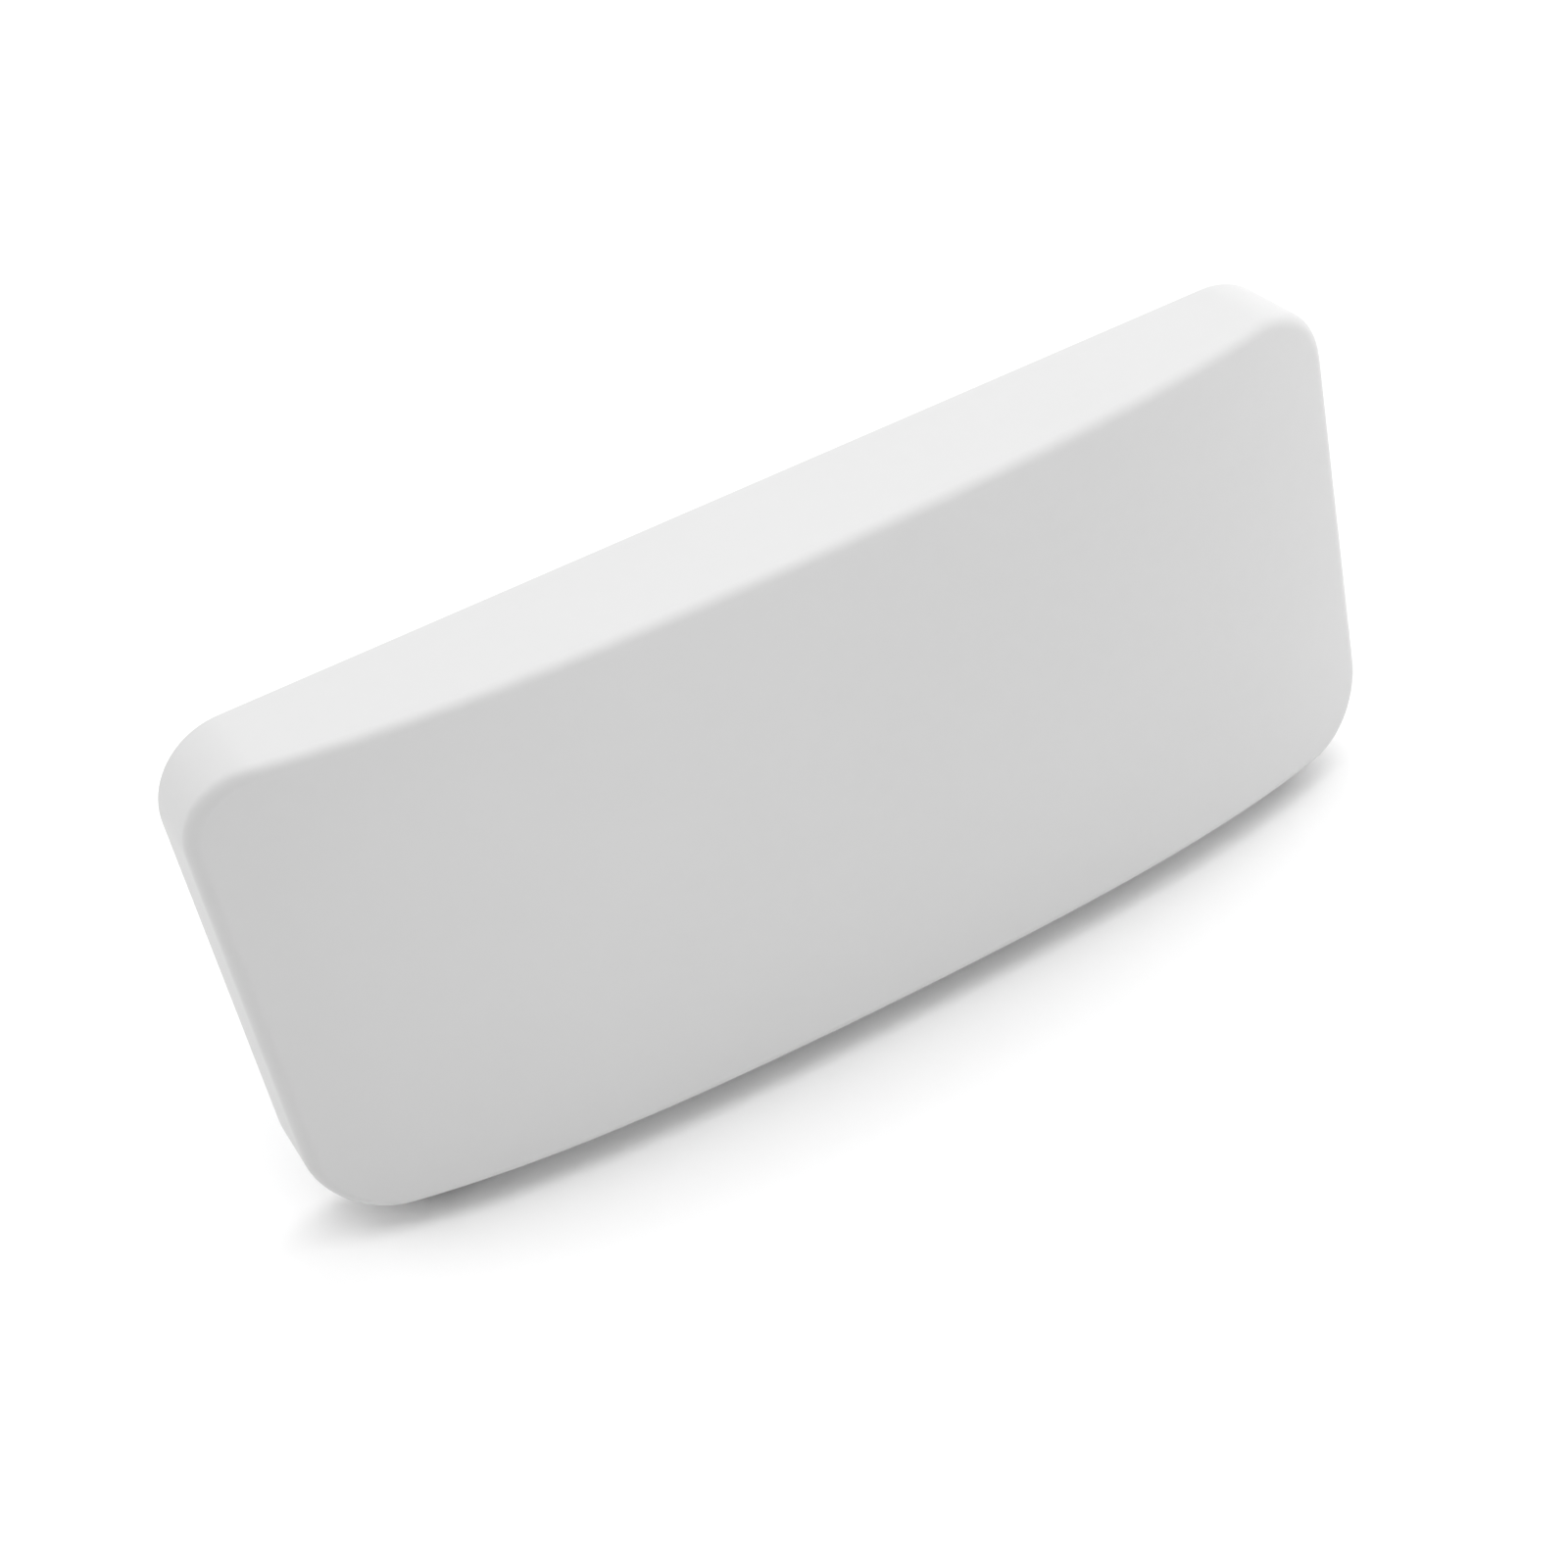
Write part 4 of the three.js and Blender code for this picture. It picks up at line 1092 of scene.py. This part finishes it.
def build_control_board():
    _, y_span, z_span = spans("control_board")
    y = middle(spans("power_rocker")[1])
    face, back = 550.6, 549
    sheet, shells, dark = Piece(), Piece(), Piece()
    sheet.box((back, face), y_span, z_span, 0.2)
    sheet.finish("control_board_sheet", "board_green", "control_board")
    for z in (-45, -27):
        for side in (-1, 1):
            shells.box((face, 567), about(y + side * 7.4, 1.4), about(z, 15), 0.2)
            shells.box((face, 567), about(y, 16), about(z + side * 6.2, 2.4), 0.2)
        dark.box((face, 556), about(y, 14), about(z, 11), 0.1)
        for contact in range(8):
            shells.box((555.5, 563), about(y - 3.6 + contact * 1.02, 0.35), about(z + 3.6, 0.5), 0)
    dark.box((545, back), about(y, 24), (28, 52), 0.6)
    dark.box((541, back), about(y, 30), (-64, -50), 0.8)
    dark.box((face, 554.6), about(y, 8), about(3, 8), 0.5)
    for step in range(9):
        across, z = y + (step % 3 - 1) * 7, -34 + 6 * step
        dark.box((back - 1, back), about(across, 3), about(z, 1.8), 0.1)
        shells.box((back - 0.9, back), about(across, 4), about(z, 1.5), 0.1)
    shells.finish("control_board_sockets", "zinc_steel")
    dark.finish("control_board_parts", "black_plastic")


def build_gland(node):
    x, y, _ = map(middle, spans(node))
    centre = (x, y, 0)
    gland, seal = Piece(), Piece()
    body = [(8, -235.8), (10, -236), (11.6, -234.8), (13.2, -232), (14, -229), (14, -221.9)]
    body += [(13, -221.9), (12.6, -214), (12.6, -196.8), (8, -196.8), (8, -235.8)]
    gland.lathe(body, centre, "z", 48)
    for rib in range(12):
        spin = Matrix.Translation(centre) @ Matrix.Rotation(rib * math.pi / 6, 4, "Z")
        gland.box((13.2, 14.6), about(0, 2.4), (-229, -222.4), 0.5, spin)
    for low, high, wide, slope in ((-219.8, -208.4, 16, 0.8), (-205.1, -199.1, 17, 0.7)):
        nut = [(12.7, low), (wide - 0.5, low), (wide, low + slope)]
        nut += [(wide, high - slope), (wide - 0.5, high), (12.7, high)]
        gland.lathe(nut, centre, "z", 6)
    seal.lathe([(8.2, -234.6), (7, -234.6), (7, -212), (8.2, -212)], centre, "z", 40)
    gland.finish(f"{node}_body", "dark_plastic", node)
    seal.finish(f"{node}_seal", "rubber")


build_rocker()
build_button()
build_control_board()
for number in (1, 2, 3):
    build_gland(f"cable_gland_{number}")

# ---- held cables


def off_terminal(module, side):
    """Where a power cable leaves its lug: up from the stud and over the module's end plate."""
    x = middle(spans(f"{module}_frame")[0]) + side * TERMINAL_OFFSET
    return x, [(x, -142.8, 206), (x, -142.8, 212), (x, -140.5, 222), (x + 2, -133, 235)]


PLUS_X, PLUS_START = off_terminal("module_1", -1)
PLUS_ROUTE = PLUS_START + [
    (PLUS_X + 16, -110, 241.5), (PLUS_X + 45, -80, 241.5), (-300, -75, 241), (60, -75, 241),
    (420, -75, 241), (462, -75, 236), (476, -72, 212), (479, -64, 180), (479, -60, 160),
    (479, -60, 144.5),
]
MINUS_X, MINUS_START = off_terminal("module_4", 1)
MINUS_ROUTE = MINUS_START + [
    (MINUS_X + 16, -112, 241.5), (MINUS_X + 50, -96, 241.5), (420, -96, 241), (476, -93, 236),
    (494, -80, 212), (497, -66, 180), (497, -60, 160), (497, -60, 144.5),
]
DATA_ROUTE = [
    (-505, -51, -124), (-505, -51, -150), (-505, -50, -200), (-503, -44, -228), (-490, -38, -240),
    (-430, -35, -242), (0, -31, -242), (250, -30, -242), (276, -30, -236), (286, -30, -214),
    (298, -30, -198), (320, -30, -194), (520, -30, -194), (558, -32, -193.5),
    (571, -38, -175), (568, -44, -130), (557, -50, -95), (550, -50, -82), (550, -50, -73),
]


def build_cable(node, slot, route, radius, lugged=False):
    """A held cable along its route, with a crimped lug on its stud where it starts at one."""
    line = smooth_line(route, 14)
    Piece().tube(line, radius, 20).finish(f"{node}_jacket", slot, node, sharp=60)
    if lugged:
        x, y, _ = route[0]
        lug = Piece().box(about(x, 15), (-140.4, LINK_BACK), (186, 205), 0.8)
        barrel = [(0, 202), (4.2, 202), (5.2, 203), (5.2, 211), (4.6, 212), (0, 212)]
        lug.lathe(barrel, (x, y, 0), "z", 28)
        lug.nut((x, -140.4, TERMINAL_Z), radius=6, height=3)
        lug.finish(f"{node}_lug", "zinc_steel")


build_cable("cable_positive", "cable_red", PLUS_ROUTE, 4.5, True)
build_cable("cable_negative", "rubber", MINUS_ROUTE, 4.5, True)
build_cable("cable_data", "cable_orange", DATA_ROUTE, 3)

# ---- back of the pan


def pressed_bead(beads, x_span, z, back):
    """A long bead with round ends, pressed outwards from the sheet by 1.9 mm."""
    half, rise, corner, steps = 8, 1.9, 10, 6
    ends = []
    for step in range(2 * corner + 1):
        angle = -math.pi / 2 + math.pi * step / (2 * corner)
        ends.append((math.cos(angle), math.sin(angle)))
    outline = [(x_span[1] - half, c, s) for c, s in ends]
    outline += [(x_span[0] + half, -c, -s) for c, s in ends]
    rings = []
    for step in range(steps + 1):
        turn = math.pi / 2 * step / steps
        reach = half * (1 - 0.55 * math.sin(turn) ** 2)
        y = back - 0.4 + (rise + 0.4) * (1 - math.cos(turn))
        rings.append([(x + c * reach, y, z + s * reach) for x, c, s in outline])
    loft(beads.mesh, rings)


def build_pan_details():
    """The beads in the pan's back, and the screws that hold the modules, rails and flanges."""
    back = spans("chassis_pan")[1][1]
    beads, screws = Piece(), Piece()
    for z in (-203, 203):
        pressed_bead(beads, (-505, 205), z, back)
    for z in (-120, -60, 0, 60, 120):
        pressed_bead(beads, (-560, -245), z, back)
        pressed_bead(beads, (462, 560), z, back)
    for number in range(1, 5):
        x = middle(spans(f"module_{number}_frame")[0])
        for side in (-1, 1):
            for z in (-222, 222):
                screws.screw((x + side * 60, back, z), radius=5, sign=1)
    for x in (-185, -60, 60, 185):
        for z in (-90, 150):
            screws.screw((x, -18.7, z), radius=4.5, sign=1)
    for x in (450, 582):
        for z in (-170, -60, 60, 170):
            screws.screw((x, back, z), radius=3.6, sign=1)
    beads.finish("pan_beads", "pan_coat", sharp=75)
    screws.finish("pan_screws", "zinc_steel")


build_pan_details()

# ---- floor, light and camera

FLOOR_REACH = 14
BACKDROP = 1.1


def studio_floor():
    mesh = bpy.data.meshes.new("floor")
    turns = ((-1, -1), (1, -1), (1, 1), (-1, 1))
    corners = [(FLOOR_REACH * x, FLOOR_REACH * y, cad_bounds[0].z) for x, y in turns]
    mesh.from_pydata(corners, [], [(0, 1, 2, 3)])
    paper = Surface("floor_paper", (0.95, 0.95, 0.95), 0.95)
    paper.bump(paper.noise(0.002, 2), 0.00002, 0.2)
    mesh.materials.append(paper.material)
    linked("floor", mesh)


def room(strength):
    """A white backdrop all round that adds only the given strength of light to the scene."""
    world = bpy.data.worlds.new("room")
    world.use_nodes = True
    tree = world.node_tree
    fill = put(tree.nodes["Background"], Color=WHITE, Strength=strength)
    backdrop = put(tree.nodes.new("ShaderNodeBackground"), Color=WHITE, Strength=BACKDROP)
    path = tree.nodes.new("ShaderNodeLightPath")
    mix = tree.nodes.new("ShaderNodeMixShader")
    tree.links.new(path.outputs["Is Camera Ray"], mix.inputs["Fac"])
    tree.links.new(fill.outputs["Background"], mix.inputs[1])
    tree.links.new(backdrop.outputs["Background"], mix.inputs[2])
    tree.links.new(mix.outputs["Shader"], tree.nodes["World Output"].inputs["Surface"])
    bpy.context.scene.world = world


def soft_light(name, direction, spread, strength):
    """An even light from far off, as from a wide diffuser in that direction."""
    light = bpy.data.lights.new(name, "SUN")
    light.angle = math.radians(spread)
    light.energy = strength * math.pi
    linked(name, light).rotation_euler = Vector(direction).to_track_quat("Z", "Y").to_euler()


studio_floor()
room(0.02)
soft_light("overhead", (0, 0, 1), 55, 0.44)
soft_light("overhead_right", (0.35, 0.2, 1), 45, 0.11)
soft_light("back_right", (1, 1, 0.7), 60, 0.26)
soft_light("back_left", (-1, 1, 0.7), 60, 0.4)
soft_light("right", (1, 0, 0.5), 60, 0.33)
soft_light("left", (-1, 0, 0.5), 60, 0.07)
soft_light("front_right", (0.5, -1, 1), 60, 0.39)
bpy.context.scene.view_settings.view_transform = "Standard"


def set_camera():
    data = bpy.data.cameras.new("camera")
    data.lens = LENS
    data.sensor_width = 36
    camera = linked("camera", data)
    camera.rotation_mode = "QUATERNION"
    camera.matrix_world = (
        Matrix.Translation(AIM)
        @ Matrix.Rotation(math.radians(LOOK_AZIMUTH), 4, "Z")
        @ Matrix.Rotation(math.radians(90 - LOOK_ELEVATION), 4, "X")
        @ Matrix.Rotation(math.radians(ROLL), 4, "Z")
        @ Matrix.Translation((0, 0, DISTANCE))
    )
    bpy.context.scene.camera = camera


set_camera()
